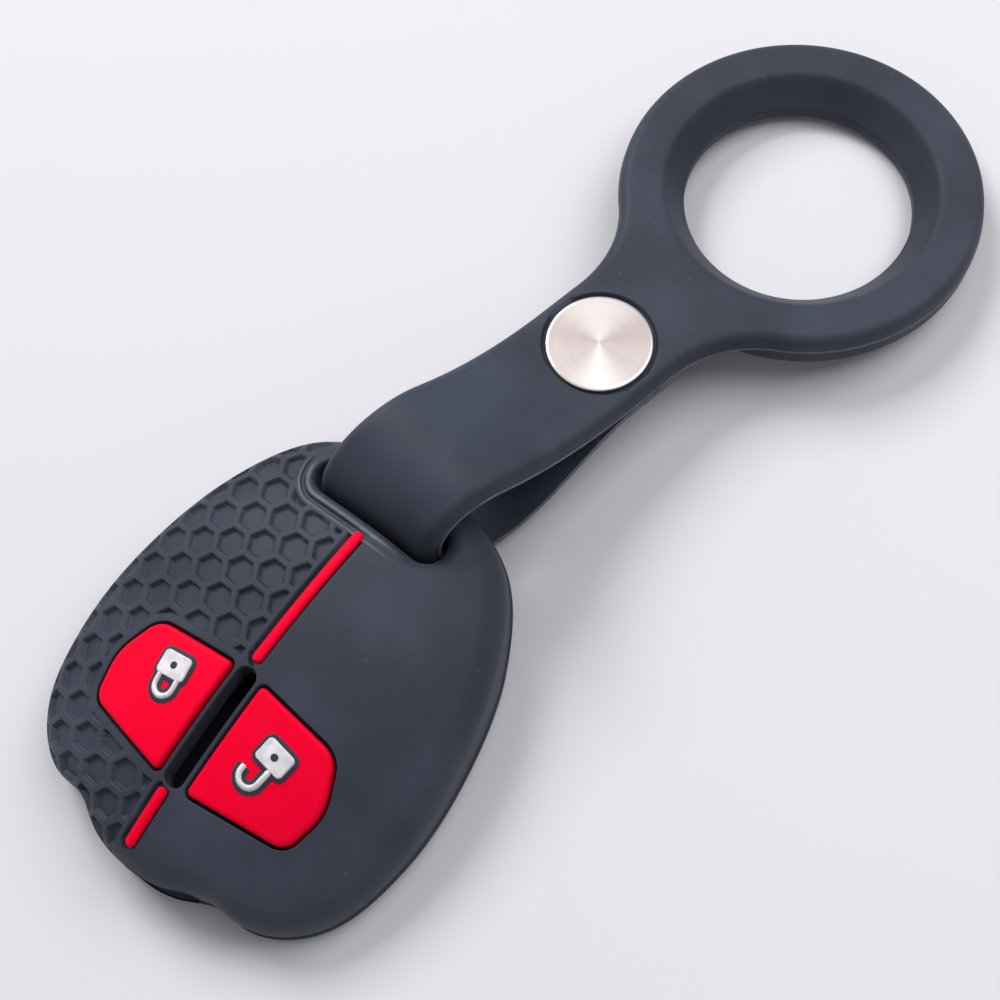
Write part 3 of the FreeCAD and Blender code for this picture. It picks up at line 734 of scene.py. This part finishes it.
def makePad(node, body, middle):
    # red pad: a grid pulled into the outline, a little proud of the cover, its edge rounded, and a short skirt
    grid, skirtShare = padShape["grid"], padShape["skirtShare"]
    share, angle = discGrid(np.linspace(-1, 1, grid), np.linspace(-1, 1, grid))
    spread = share * (1 + skirtShare)
    loop = padEdges[node]
    out = np.stack([np.cos(angle), np.sin(angle)], -1)
    plan = middle + out * (np.minimum(spread, 1) * edgeReach(loop, middle, angle))[..., None]
    inset = np.maximum(-loopDistance(plan, loop[::3]), 0)
    z = crownZ(plan, padShape["proud"]) - roundDrop(inset, padShape["edge"])
    z -= np.maximum(spread - 1, 0) / skirtShare * padShape["skirt"]
    points, faces = np.dstack([plan, z]), gridFaces(grid, grid)
    makePiece(camel(node) + "Face", body, red, points, faces, [node])


def makeStripe(node, span):
    # red bead: half-round across, its two ends rounded, following the crown
    low, high = span
    half, rows, columns = stripes["halfWide"], 160, 25
    y = low + (high - low) * (1 - np.cos(np.linspace(0, np.pi, rows))) / 2
    past = np.maximum(np.abs(y - (low + high) / 2) - (high - low) / 2 + half, 0) / half
    width = half * np.sqrt(np.clip(1 - past ** 2, 0.0004, 1))[:, None]
    turn = np.linspace(-np.pi * stripes["wrap"], np.pi * stripes["wrap"], columns)
    plan = np.dstack(np.broadcast_arrays(stripes["x"] + width * np.sin(turn), y[:, None]))
    points = frontPoint(plan)
    points[..., 2] += stripes["proud"] * np.cos(turn) * np.minimum(width / half * 1.4, 1)
    faces = gridFaces(rows, columns)[:, ::-1]
    makePiece(camel(node) + "Bead", "cover", red, points, faces, [node])


makePad("lock_pad", "lock_key", np.array([-8.2, -6.6]))
makePad("unlock_pad", "unlock_key", np.array([8.2, -6.6]))
makeStripe("upper_stripe", stripes["upper"])
makeStripe("lower_stripe", stripes["lower"])

symbol = {"half": 1.8, "tall": 2.7, "round": 0.5, "shackle": 1.15, "bar": 0.34, "leg": 0.85, "high": 0.46,
          "outline": 0.45, "outlineHigh": 0.16, "keyhole": 0.42, "blockEdge": 0.14, "holeEdge": 0.05,
          "holeProud": 0.03, "openLift": 0.9, "openSide": 0.65, "openEnd": -0.45, "sunk": -0.2, "skirt": 0.15,
          "grid": 44, "skirtShare": 0.12, "barWrap": 0.75}


def domed(name, body, finish, loop, middle, high, edge, base=padShape["proud"]):
    # flat-topped raised shape over a pad, its outline seen whole from its middle
    grid, skirtShare = symbol["grid"], symbol["skirtShare"]
    share, angle = discGrid(np.linspace(-1, 1, grid), np.linspace(-1, 1, grid))
    spread = share * (1 + skirtShare)
    out = np.stack([np.cos(angle), np.sin(angle)], -1)
    plan = middle + out * (np.minimum(spread, 1) * edgeReach(loop, middle, angle))[..., None]
    z = crownZ(plan, base) + high - roundDrop(np.maximum(-loopDistance(plan, loop), 0), edge)
    z -= np.maximum(spread - 1, 0) / skirtShare * (high + symbol["skirt"])
    makePiece(name, body, finish, np.dstack([plan, z]), gridFaces(grid, grid))


def bent(name, body, finish, path, half, high):
    # half-round bar carried along a plan path over a pad, its ends closed
    ahead = np.gradient(path, axis=0)
    ahead /= np.linalg.norm(ahead, axis=1)[:, None]
    left = np.stack([-ahead[:, 1], ahead[:, 0]], 1)
    columns = 17
    turn = np.linspace(-np.pi * symbol["barWrap"], np.pi * symbol["barWrap"], columns)
    ends = np.concatenate([[0.05], np.ones(len(path) - 2), [0.05]])[:, None]
    plan = path[:, None] + left[:, None] * (half * ends * np.sin(turn))[..., None]
    z = crownZ(plan, padShape["proud"]) + high * np.maximum(np.cos(turn), -0.5) * ends
    points = np.dstack([plan, z])
    faces = gridFaces(len(path), columns)
    makePiece(name, body, finish, points, upward(points.reshape(-1, 3), faces))


def makePadlock(tag, body, middle, turn, opened):
    # padlock sign, its top towards the chin: rounded block, bow of two legs and a half circle, keyhole, over the
    # same shapes grown into a dark outline; the open one has its bow lifted, moved and cut short
    s = symbol
    a = math.radians(turn)
    right, up = np.array([-math.cos(a), -math.sin(a)]), np.array([math.sin(a), -math.cos(a)])
    middle = np.array(middle)

    def place(x, y):
        return middle + np.multiply.outer(x, right) + np.multiply.outer(y, up)

    half, tall = s["half"], s["tall"]
    block = [(-half, -tall), (half, -tall), (half, 0.0), (-half, 0.0)]
    lift, side = (s["openLift"], s["openSide"]) if opened else (0.0, 0.0)
    arc = np.linspace(np.pi, 0, 28)
    bowX, bowY = s["shackle"] * np.cos(arc) + side, s["shackle"] * np.sin(arc) * 1.05 + s["leg"] + lift
    endY = s["leg"] + lift + s["openEnd"] if opened else s["sunk"]
    perLeg = 6
    firstLeg = np.linspace(s["sunk"], bowY[0], perLeg, endpoint=False)
    lastLeg = np.linspace(bowY[-1], endY, perLeg + 1)[1:]
    pathX = np.concatenate([np.full(perLeg, bowX[0]), bowX, np.full(perLeg, bowX[-1])])
    path = place(pathX, np.concatenate([firstLeg, bowY, lastLeg]))
    layers = (("Outline", navy, s["outline"], s["outlineHigh"], "dark_silicone"),
              ("White", white, 0.0, s["high"], None))
    for suffix, finish, grow, high, slotName in layers:
        corners = [(*place(x + math.copysign(grow, x), y + (grow if y > -1 else -grow)), s["round"] + grow)
                   for x, y in block]
        loop = evenLoop(roundedLoop(corners, 8), 120)
        domed(tag + "Body" + suffix, body, finish, loop, place(0.0, -tall / 2), high, s["blockEdge"])
        bent(tag + "Bow" + suffix, body, finish, path, s["bar"] + grow, high)
    t = np.linspace(0, 2 * np.pi, 40, endpoint=False)
    hole = place(s["keyhole"] * np.cos(t), s["keyhole"] * np.sin(t) - tall / 2)
    high = s["high"] + s["holeProud"]
    domed(tag + "Keyhole", body, navy, hole, place(0.0, -tall / 2), high, s["holeEdge"])


makePadlock("locked", "lock_key", (-7.0, -5.2), 8.0, False)
makePadlock("unlocked", "unlock_key", (7.6, -6.2), -8.0, True)
print("cover, pads, stripes and symbols made")


# strap and ring

strap = {
    "yaw": 11.3, "slotY": 21.6, "slotX": -0.9, "halfWidth": 7.7, "halfThick": 1.1, "edge": 1.4, "startZ": 6.0,
    "archZ": 10.0, "archRadius": 7.5, "descent": 33.0, "bendRadius": 36.0, "fall": 6.25, "discY": 31.2,
    "discZ": 10.4, "tailZ": 1.9, "cornerRadius": 3.2, "riseY": 11.0, "riseRadius": 20.0, "splitY": 17.5,
    "turnEndY": 26.8, "kneeY": 27.0, "kneeRadius": 14.0, "tailReach": 9.0, "layerGap": 0.3, "flash": 0.13,
    "flashStart": 0.5, "flashEnd": 0.36, "crease": 0.06, "flashRound": 0.1, "endCorner": 2.5, "endRound": 0.4,
    "settle": (5.0, 21.0),
}
ring = {"distance": 31.2, "outer": 20.9, "face": 15.9, "hole": 13.3, "thick": 4.7, "lip": 1.3, "flare": 14.0,
        "neckEnd": 9.0, "neckStart": -8.0, "bottomRound": 0.7, "flash": 0.12, "flashShares": (0.86, 0.97),
        "sideShare": 0.8, "shoulder": 1.6, "shoulderSoft": 0.55, "crowd": 1.8}
seat = {"radius": 6.35, "depth": 0.55, "edge": 0.22, "socketRadius": 4.45, "socketDepth": 1.3}


def turned(degrees):
    # unit direction in plan at an angle from x
    a = math.radians(degrees)
    return np.array([math.cos(a), math.sin(a)])


yawTurn = turned(90 - strap["yaw"])
alongAxis = np.array([yawTurn[0], yawTurn[1], 0.0])
upAxis = np.array([0.0, 0.0, 1.0])
slotPlace = np.array([0.0, strap["slotY"], 0.0])


def toWorld(x, y, z, settled=1.0):
    # strap's own upright frame: x across, y along from the slot, z up; where it is not yet settled, in the
    # slot, the strap lies square to the slot and over its middle
    x, y, z, settled = np.broadcast_arrays(x, y, z, settled)
    yaw = math.radians(strap["yaw"]) * settled
    across = np.stack([np.cos(yaw), -np.sin(yaw), 0 * yaw], -1)
    shift = (1 - settled)[..., None] * np.array([strap["slotX"], 0.0, 0.0])
    return slotPlace + shift + x[..., None] * across + y[..., None] * alongAxis + z[..., None] * upAxis


def pathSamples(corners, radii, step=0.05):
    # straight runs joined by tangent arcs, sampled evenly: places, unit directions and distance along
    corners = [np.array(c, float) for c in corners]
    places, directions = [], []
    here = corners[0]
    for i, radius in enumerate([*radii, None], start=1):
        run = corners[i] - here
        heading = run / np.linalg.norm(run)
        if radius is None:
            end, reach = corners[i], 0.0
        else:
            onward = corners[i + 1] - corners[i]
            onward /= np.linalg.norm(onward)
            turn = math.atan2(heading[0] * onward[1] - heading[1] * onward[0], heading @ onward)
            reach = radius * math.tan(abs(turn) / 2)
            end = corners[i] - heading * reach
        count = max(2, int(np.linalg.norm(end - here) / step))
        share = np.linspace(0, 1, count, endpoint=radius is None)[:, None]
        places.append(here + (end - here) * share)
        directions.append(np.broadcast_to(heading, (count, 2)))
        if radius is not None:
            count = max(4, int(radius * abs(turn) / step))
            a = np.linspace(0, turn, count, endpoint=False)[:, None]
            left = np.array([-heading[1], heading[0]]) * math.copysign(1, turn)
            places.append(end + radius * (heading * np.sin(np.abs(a)) + left * (1 - np.cos(a))))
            directions.append(heading * np.cos(a) + left * np.sin(np.abs(a)))
            here = corners[i] + onward * reach
    places, directions = np.concatenate(places), np.concatenate(directions)
    length = np.concatenate([[0], np.cumsum(np.hypot(*np.diff(places, axis=0).T))])
    return places, directions, length


def strapRoutes(s):
    # middle of the strap's thickness: up out of the slot, over the arch to the ring; and down, round the bar to
    # the free end
    fall, descent = math.radians(s["fall"]), math.radians(s["descent"])
    along, normal = np.array([math.cos(fall), -math.sin(fall)]), np.array([math.sin(fall), math.cos(fall)])
    down = np.array([math.cos(descent), -math.sin(descent)])
    peak = np.array([0.0, s["archZ"] + s["archRadius"] * math.tan((math.pi / 2 + descent) / 2)])
    disc = np.array([s["discY"], s["discZ"]]) - normal * s["halfThick"]
    bend = peak + down * ((disc - peak) @ normal / (down @ normal))
    farEnd = disc + along * (ring["distance"] + ring["outer"])
    upper = pathSamples([(0, s["startZ"]), peak, bend, farEnd], [s["archRadius"], s["bendRadius"]])
    tailMiddle = disc - normal * (2 * s["halfThick"] + s["layerGap"])
    knee = tailMiddle + along * ((s["kneeY"] - tailMiddle[0]) / along[0])
    rise = np.array([s["riseY"], s["tailZ"]])
    tailEnd = tailMiddle + along * s["tailReach"]
    lower = pathSamples([(0, s["startZ"]), (0, s["tailZ"]), rise, knee, tailEnd],
                        [s["cornerRadius"], s["riseRadius"], s["kneeRadius"]])
    return upper, lower, disc, along, normal


upperRoute, lowerRoute, discPlace, planeAlong, planeNormal = strapRoutes(strap)
discAt = upperRoute[2][-1] - ring["distance"] - ring["outer"]


def onRoute(route, x, s, h, outerSide):
    # flat strap place (x across, s along, h out of the middle) carried on to the route
    places, directions, length = route
    y, z = np.interp(s, length, places[:, 0]), np.interp(s, length, places[:, 1])
    dy, dz = np.interp(s, length, directions[:, 0]), np.interp(s, length, directions[:, 1])
    return toWorld(x, y - outerSide * dz * h, z + outerSide * dy * h, ease(s, *strap["settle"]))


def bandSection(half, perCorner=9):
    # closed outline of the strap across: outer edges well rounded, a thin flash line at the inner edges
    thick, wide = strap["halfThick"], half + strap["flash"]
    right = [(half, thick, strap["edge"]), (half, -thick + strap["flashStart"], strap["crease"]),
             (wide, -thick + strap["flashEnd"], strap["crease"]), (wide, -thick, strap["flashRound"])]
    left = [(-x, h, r) for x, h, r in reversed(right)]
    return roundedLoop(right + left, perCorner)


def flashWearAndHighlight(section, rows):
    # 1 on the flash line's points of each row, where the pale edge colour goes: wear together with a painted
    # highlight
    return np.tile(np.abs(section[:, 0]) > strap["halfWidth"] + 0.3 * strap["flash"], (rows, 1))


def makeBand(route, start, end, outerSide, rows, capEnd=False):
    # the strap's section carried along a stretch of a route
    section = bandSection(strap["halfWidth"])
    s = np.linspace(start, end, rows)[:, None]
    x, h = section[None, :, 0], section[None, :, 1]
    if capEnd:  # free end: its corners rounded in plan, then its thickness rounded off
        corner, nose = strap["endCorner"], strap["endRound"]
        a, b = np.linspace(0, np.pi / 2, 14)[1:], np.linspace(0.2, np.pi / 2, 6)
        straight = np.linspace(start, end - corner, rows)
        s = np.concatenate([straight, end - corner * (1 - np.sin(a)), end + nose * np.sin(b)])[:, None]
        inset = np.concatenate([np.zeros(rows), corner * (1 - np.cos(a)), np.full(len(b), corner)])[:, None]
        x = np.sign(x) * (np.abs(x) - inset)
        h = h * np.concatenate([np.ones(rows + len(a)), np.cos(b)])[:, None]
    points = onRoute(route, x, s, h, outerSide)
    faces = gridFaces(len(s), section.shape[0], wrapColumns=True)
    return points, faces if outerSide > 0 else faces[:, ::-1], flashWearAndHighlight(section, len(s))


neckFrom = discAt + ring["neckStart"]
points, faces, worn = makeBand(upperRoute, 0.0, neckFrom, 1, 360)
strapArm = makePiece("strapArm", None, navy, points, faces, ["strap_loop"], worn)
tuple(toWorld(0, 0, 9.0) * mm)
tuple(toWorld(0, 12.0, 15.0) * mm)
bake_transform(strapArm)

splitAt = float(np.interp(strap["splitY"], lowerRoute[0][-800:, 0], lowerRoute[2][-800:]))
points, faces, worn = makeBand(lowerRoute, 0.0, splitAt, -1, 300)
strapUnder = makePiece("strapUnder", None, navy, points, faces, worn=worn)
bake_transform(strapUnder)  # turns at the slot's foot

points, faces, worn = makeBand(lowerRoute, splitAt, lowerRoute[2][-1], -1, 160, capEnd=True)
tailFlap = makePiece("tailFlap", None, navy, points, faces, ["strap_tail"], worn)
split = onRoute(lowerRoute, 0.0, splitAt, 0.0, -1)
turnEnd = split + alongAxis * (strap["turnEndY"] - strap["splitY"])
tuple((split + alongAxis * 0.2) * mm)
tuple(turnEnd * mm)
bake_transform(tailFlap)


def planePoint(x, y, h):
    # place in the ring plane: x across and y along from the cap's middle, h above the strap's face
    y, h = np.broadcast_arrays(y, h)
    top = discPlace + planeNormal * strap["halfThick"]
    return toWorld(x, top[0] + y * planeAlong[0] + h * planeNormal[0],
                   top[1] + y * planeAlong[1] + h * planeNormal[1])


def neckHalf(y):
    # half width of the neck: straight, then a flare that is tangent to the ring
    straight, flare = strap["halfWidth"], ring["flare"]
    flareY = ring["distance"] - math.sqrt((ring["outer"] + flare) ** 2 - (straight + flare) ** 2)
    past = np.clip(y - flareY, 0, flare)
    return straight + flare - np.sqrt(flare ** 2 - past ** 2), flareY


def makeNeck():
    # stretch under the cap: the band's section widened by the flare, sampled finely above for the cap's round
    # seat and below for the socket's
    rows, across, below = 150, 150, 120
    section = bandSection(strap["halfWidth"])
    face = np.linspace(-1, 1, across)
    flatHalf = strap["halfWidth"] - strap["edge"]
    lower = section[(section[:, 1] < strap["halfThick"] - 1e-6) | (np.abs(section[:, 0]) > flatHalf + 1e-6)]
    lower = np.roll(lower, -np.argmin(np.hypot(lower[:, 0] - flatHalf, lower[:, 1] - strap["halfThick"])), 0)
    top = np.stack([face * flatHalf, np.full(across, strap["halfThick"])], 1)
    crossing = np.flatnonzero((lower[:-1, 0] > 0) & (lower[1:, 0] < 0))[0] + 1
    under = np.linspace(lower[crossing - 1], lower[crossing], below + 2)[1:-1]
    lower = np.concatenate([lower[:crossing], under, lower[crossing:]])
    loop = np.concatenate([lower, top[1:-1]])
    y = np.linspace(ring["neckStart"], ring["neckEnd"], rows)[:, None]
    plain = loop[None, :, 0]
    widen = np.sign(plain) * (neckHalf(y)[0] - strap["halfWidth"]) * np.minimum(np.abs(plain) / flatHalf, 1)
    x = plain + widen
    h = np.broadcast_to(loop[None, :, 1], x.shape).copy()
    number = np.arange(len(loop))[None]
    onFace, onBack = number >= len(lower), (number >= crossing) & (number < crossing + len(under))
    away = np.hypot(x, y)
    h -= onFace * seat["depth"] * ease(-away, -seat["radius"] - seat["edge"], -seat["radius"])
    h += onBack * seat["socketDepth"] * ease(-away, -seat["socketRadius"] - seat["edge"], -seat["socketRadius"])
    points = onRoute(upperRoute, x, discAt + y, h, 1)
    makePiece("strapNeck", "strap", navy, points, gridFaces(rows, len(loop), wrapColumns=True),
              worn=flashWearAndHighlight(loop, rows))


makeNeck()


def makeRing():
    # ring: an outline found in each direction (circle, flare, straight join to the neck) and a profile from the
    # hole's lip over the sloped inner face, the top, the round outer edge and the side to the flat underside
    reach, outer, flare = ring["distance"] - ring["neckEnd"], ring["outer"], ring["flare"]
    half, flareY = neckHalf(np.array([ring["neckEnd"]]))
    centre = np.array([strap["halfWidth"] + flare, ring["distance"] - flareY])  # flare's centre, neck downwards
    tangent, corner = math.atan2(*centre), math.atan2(half[0], reach)
    stretches = [(-tangent, -corner, 50), (-corner, corner, 70), (corner, tangent, 50),
                 (tangent, 2 * np.pi - tangent, 330)]
    turn = np.concatenate([np.linspace(*stretch, endpoint=False) for stretch in stretches])[:, None]
    psi = np.abs(np.where(turn > np.pi, turn - 2 * np.pi, turn))
    toward = np.sin(psi) * centre[0] + np.cos(psi) * centre[1]
    flareReach = toward - np.sqrt(np.maximum(toward ** 2 - centre @ centre + flare ** 2, 0))
    edge = np.where(psi <= corner, reach / np.cos(psi), np.where(psi < tangent, flareReach, outer))
    slope = (ring["thick"] - ring["lip"]) / (ring["face"] - ring["hole"])
    shoulder = ring["shoulder"]
    inner = np.linspace(ring["hole"], ring["face"] + shoulder, 26)[None] + 0 * edge
    q = (ring["face"] - inner) * slope
    innerH = np.maximum(-(q + np.sqrt(q * q + ring["shoulderSoft"] ** 2)) / 2, -(ring["thick"] - ring["lip"]))
    share = np.linspace(0, 1, 30)[None, 1:]
    bow = 1 - (1 - share) ** ring["crowd"]  # rows crowd together at the edge
    face = ring["face"] + shoulder + (edge - ring["face"] - shoulder) * bow
    xFace, yFace = face * np.sin(psi), face * np.cos(psi)
    inset = np.where(psi < tangent, np.hypot(xFace - centre[0], yFace - centre[1]) - flare, edge - face)
    faceH = -roundDrop(np.maximum(inset, 0), strap["edge"])
    plate, deep, r = 2 * strap["halfThick"], ring["thick"], ring["bottomRound"]
    ones = np.ones_like(edge)
    body = np.minimum(edge, outer)
    flash = edge + ring["flash"] * (psi > corner)
    side = [(edge, -plate * ring["sideShare"] * ones)]
    side += [(flash, -plate * t * ones) for t in ring["flashShares"]]
    side += [(edge, -plate * ones), (body, -(plate + 0.02) * ones)]
    side += [(body, -h * ones) for h in np.linspace(plate + 0.3, deep - r, 5)]
    side += [(body - r * (1 - np.cos(a)), -(deep - r + r * np.sin(a)) * ones)
             for a in np.linspace(0.3, np.pi / 2, 5)]
    side += [(ring["hole"] + (body - r - ring["hole"]) * t, -deep * ones) for t in (0.66, 0.33, 0.0)]
    far = np.concatenate([inner, face] + [f for f, _ in side], 1)
    high = np.concatenate([innerH, faceH] + [h for _, h in side], 1)
    points = planePoint(far * np.sin(turn), ring["distance"] - far * np.cos(turn), high)
    faces = gridFaces(len(turn), far.shape[1], wrapRows=True, wrapColumns=True)
    # the two flash rows get the pale edge colour: wear together with a painted highlight
    worn = np.zeros_like(far)
    firstSide = inner.shape[1] + face.shape[1]
    worn[:, firstSide + 1:firstSide + 3] = 1.0
    makePiece("strapRing", "strap", navy, points, faces, ["strap_ring"], worn)


makeRing()


# snap

cap = {"radius": 6.0, "top": 0.10, "crown": 0.05, "bevel": 0.16, "bottom": -0.5, "turnIn": 0.3,
       "edge": [(0.05, 0.05), (0.0, 0.15)]}
socket = {"radius": 4.7, "bore": 2.1, "proud": 0.1, "deep": 1.15, "sunk": 0.3,
          "rim": [(0.03, 0.03), (0.1, 0.0)],
          "lip": [(0.5, 0.0), (0.4, 0.0), (0.15, 0.05), (0.02, 0.18), (0.0, 0.3)],
          "floor": [(0.0, 0.05), (0.05, 0.0), (0.2, 0.0)]}
stud = {"flange": 3.9, "head": 1.85, "tall": 1.25, "round": 0.5, "waist": 0.14, "proud": 0.14, "sunk": 0.35,
        "rim": [(0.2, 0.0), (0.1, 0.0), (0.02, 0.06)]}
postHead = {"radius": 3.6, "crown": 0.2, "proud": 0.22, "edge": 0.3}
# for spunSteel, dull and bright are the dark and bright sectors of a painted highlight, the turned face's
# reflections
steelLook = {"dull": (164, 153, 150), "bright": (202, 199, 196), "rings": 14000.0, "bands": 1600.0,
             "fanTurn": 1.9, "ringStrength": 0.3, "ringHeight": 0.006, "rough": 0.3}
platedLook = {"dull": (172, 171, 170), "bright": (202, 201, 199), "rough": 0.28}


def spunSteel(name, middle, look):
    # turned steel: fine rings round the cap's middle in the bump; a painted highlight in the colour: two bright
    # and two dull sectors standing for the turned face's reflections
    material, shader, place = newMaterial(name)
    away = place.node("ShaderNodeVectorMath", {"operation": "SUBTRACT"}, {0: place, 1: middle})
    far = away.node("ShaderNodeVectorMath", {"operation": "LENGTH"}, {0: away}, out=1)
    rings, wide = (far.node("ShaderNodeTexNoise", {"noise_dimensions": "1D"},
                            {"W": far, "Scale": look[scale], "Detail": 2.0}) for scale in ("rings", "bands"))
    turn = away.along("Y").math("ARCTAN2", away.along("X"))
    # painted highlight: bright and dull sectors round the cap's middle, the turned face's reflections painted
    # into the colour
    paintedHighlight = (turn * 2.0 + look["fanTurn"]).math("COSINE") * 0.5 + 0.5
    paintedHighlight = (paintedHighlight * paintedHighlight * 0.7 + (turn * 5.0).math("SINE") * 0.08 + wide * 0.15).clamped()
    colour = paintedHighlight.blend(rgb(*look["dull"]), rgb(*look["bright"]))
    bump = rings.bumped(look["ringStrength"], look["ringHeight"] * mm)
    feed(shader, BaseColor=colour, Roughness=look["rough"] + wide * 0.06, Normal=bump, Metallic=1.0)
    return material


def platedSteel(name, look):
    # plain plated steel with a soft mottle in colour and gloss
    material, shader, place = newMaterial(name)
    colour = place.noise(700.0, 3.0).step(0.3, 0.7).blend(rgb(*look["dull"]), rgb(*look["bright"]))
    feed(shader, BaseColor=colour, Roughness=look["rough"] + place.noise(900.0, 3.0) * 0.16, Metallic=1.0)
    return material


capMiddle = planePoint(0.0, 0.0, cap["top"])
spun = spunSteel("spunSteel", tuple(capMiddle * mm), steelLook)
plated = platedSteel("platedSteel", platedLook)
for nodeName in ("snap_socket", "snap_stud", "snap_post"):
    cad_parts[nodeName].data.materials.clear()
    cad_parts[nodeName].data.materials.append(plated)


def makeTurned(name, body, finish, profile, nodes=()):
    # profile of (radius, height above the strap's face) turned about the cap's axis, with its solid side on the
    # left of the way that it runs
    far, high = np.array(profile, float).T
    turn = np.linspace(0, 2 * np.pi, 160, endpoint=False)[:, None]
    points = planePoint(far * np.cos(turn), far * np.sin(turn), np.broadcast_to(high, (len(turn), len(far))))
    faces = gridFaces(len(turn), len(far), wrapRows=True)[:, ::-1]
    makePiece(name, body, finish, points, faces, nodes)


def makeCap(c):
    # slightly crowned face, small bevel, short rim
    share = np.linspace(0, 1 - c["bevel"] / c["radius"], 24)
    face = np.column_stack([c["radius"] * share, c["top"] + c["crown"] * (1 - share ** 2)])
    edge = [(c["radius"] - inset, c["top"] - drop) for inset, drop in c["edge"]]
    rim = [(c["radius"], c["bottom"]), (c["radius"] - c["turnIn"], c["bottom"])]
    makeTurned("capFace", "strap", spun, [*face, *edge, *rim], ["snap_cap"])


def makeSocket(c):
    # flat ring under the arm with a bore for the stud: its rim, its face, the bore's round lip, wall and floor
    under = -2 * strap["halfThick"]
    face, floor, radius, bore = under - c["proud"], under + c["deep"], c["radius"], c["bore"]
    rim = [(radius, under + c["sunk"]), (radius, under - 0.01)]
    rim += [(radius - inset, face + high) for inset, high in c["rim"]]
    lip = [(bore + out, face + high) for out, high in c["lip"]]
    inside = [(bore - inset, floor - drop) for inset, drop in c["floor"]]
    profile = [*rim, *lip, *inside, (0, floor)]
    makeTurned("socketFace", "strap", plated, profile, ["snap_socket"])


def makeStud(c):
    # round-headed stud with a slight waist, on a flange that sits on the tail
    base = -(2 * strap["halfThick"] + strap["layerGap"])
    face, head, neck, flange = base + c["proud"], c["head"], c["head"] - c["waist"], c["flange"]
    a, radius = np.linspace(0, np.pi / 2, 7), c["round"]
    middle = (head - radius, base + c["tall"] - radius)
    crown = np.column_stack([middle[0] + radius * np.sin(a), middle[1] + radius * np.cos(a)])
    waist = [(head - 0.06, middle[1] - 0.2), (neck, face + 0.25), (neck + 0.04, face + 0.06),
             (head + 0.05, face)]
    rim = [(flange - inset, face - drop) for inset, drop in c["rim"]]
    rim += [(flange, base - 0.02), (flange, base - c["sunk"])]
    profile = [(0, base + c["tall"]), *crown, *waist, *rim]
    makeTurned("studFace", "tail", plated, profile, ["snap_stud"])


def makePostHead(c):
    # low dome of the post's head under the tail
    under = -(4 * strap["halfThick"] + strap["layerGap"])
    share = np.linspace(1, 0, 20)
    dome = np.column_stack([c["radius"] * share, under - c["proud"] - c["crown"] * (1 - share ** 2)])
    makeTurned("postHead", "tail", plated, [(c["radius"], under + c["edge"]), *dome])


makeCap(cap)
makeSocket(socket)
makeStud(stud)
makePostHead(postHead)
print("strap, ring and snap made")


# floor, light, camera

stageLook = {"floor": (228, 226, 231), "half": 1.2, "below": 0.02, "rough": 0.6, "specular": 0.2,
             "background": (244, 243, 248)}


def makeFloor(look):
    # a wide flat sheet just under the cover's back
    half = look["half"]
    mesh = bpy.data.meshes.new("floor")
    corners = [(-half, -half, 0), (half, -half, 0), (half, half, 0), (-half, half, 0)]
    mesh.from_pydata(corners, [], [(0, 1, 2, 3)])
    floor = bpy.data.objects.new("floor", mesh)
    mesh.transform(Matrix.Translation((0, 0, cadBox[0][2] - look["below"] * mm)))
    material, shader = newMaterial("paleFloor")[:2]
    feed(shader, BaseColor=rgb(*look["floor"]), Roughness=look["rough"], SpecularIORLevel=look["specular"])
    mesh.materials.append(material)
    bpy.context.scene.collection.objects.link(floor)


lampTable = {  # metres and watts
    "key": {"place": (-0.81, 0.355, 0.85), "aim": (0.005, 0.03, 0.0), "size": 0.55, "power": 10.2},
    "overhead": {"place": (0.207, 0.445, 0.65), "aim": (0.012, 0.07, 0.0), "size": 0.6, "power": 3.3},
}
worldStrength = 0.27


def makeLamps(table):
    # square area lamps, each turned from its place towards its aim
    for name, lamp in table.items():
        light = bpy.data.lights.new(name, "AREA")
        light.size, light.energy = lamp["size"], lamp["power"]
        holder = bpy.data.objects.new(name, light)
        holder.location = lamp["place"]
        aim = Vector(lamp["aim"]) - Vector(lamp["place"])
        holder.rotation_euler = aim.to_track_quat("-Z", "Y").to_euler()
        bpy.context.scene.collection.objects.link(holder)


def makeWorld(strength, colour):
    # even pale light at the given strength; seen by the camera, in reflections and through glass it has a full 1
    world = bpy.data.worlds.new("studio")
    bpy.context.scene.world = world
    world.use_nodes = True
    tree = world.node_tree
    background = tree.nodes["Background"]
    background.inputs["Color"].default_value = rgb(*colour)
    rays = tree.nodes.new("ShaderNodeLightPath")
    seen = Value(tree, rays.outputs["Is Camera Ray"])
    for kind in ("Is Glossy Ray", "Is Transmission Ray"):
        seen = seen.math("MAXIMUM", Value(tree, rays.outputs[kind]))
    level = seen * (1.0 - strength) + strength
    tree.links.new(level.socket, background.inputs["Strength"])


cameraPose = {
    "place": (0.063508, -0.003832, 0.176294),
    "right": (0.78213, 0.60919, -0.13100),
    "up": (-0.54111, 0.76827, 0.34200),
    "back": (0.30899, -0.19660, 0.93052),
    "focal": 1654.6,  # in pixels of a picture that is 1000 wide
}


def makeCamera(pose):
    # lens as the focal length's share of the picture's width; the three axes are the columns of its turn
    data = bpy.data.cameras.new("camera")
    data.sensor_width = 36.0
    data.lens = pose["focal"] * data.sensor_width / 1000
    data.clip_start = 0.001
    camera = bpy.data.objects.new("camera", data)
    turn = Matrix((pose["right"], pose["up"], pose["back"])).transposed()
    camera.matrix_world = Matrix.Translation(pose["place"]) @ turn.to_4x4()
    bpy.context.scene.collection.objects.link(camera)
    bpy.context.scene.camera = camera


makeFloor(stageLook)
makeLamps(lampTable)
makeWorld(worldStrength, stageLook["background"])
makeCamera(cameraPose)
bpy.context.scene.view_settings.view_transform = "Standard"
print("stage set")
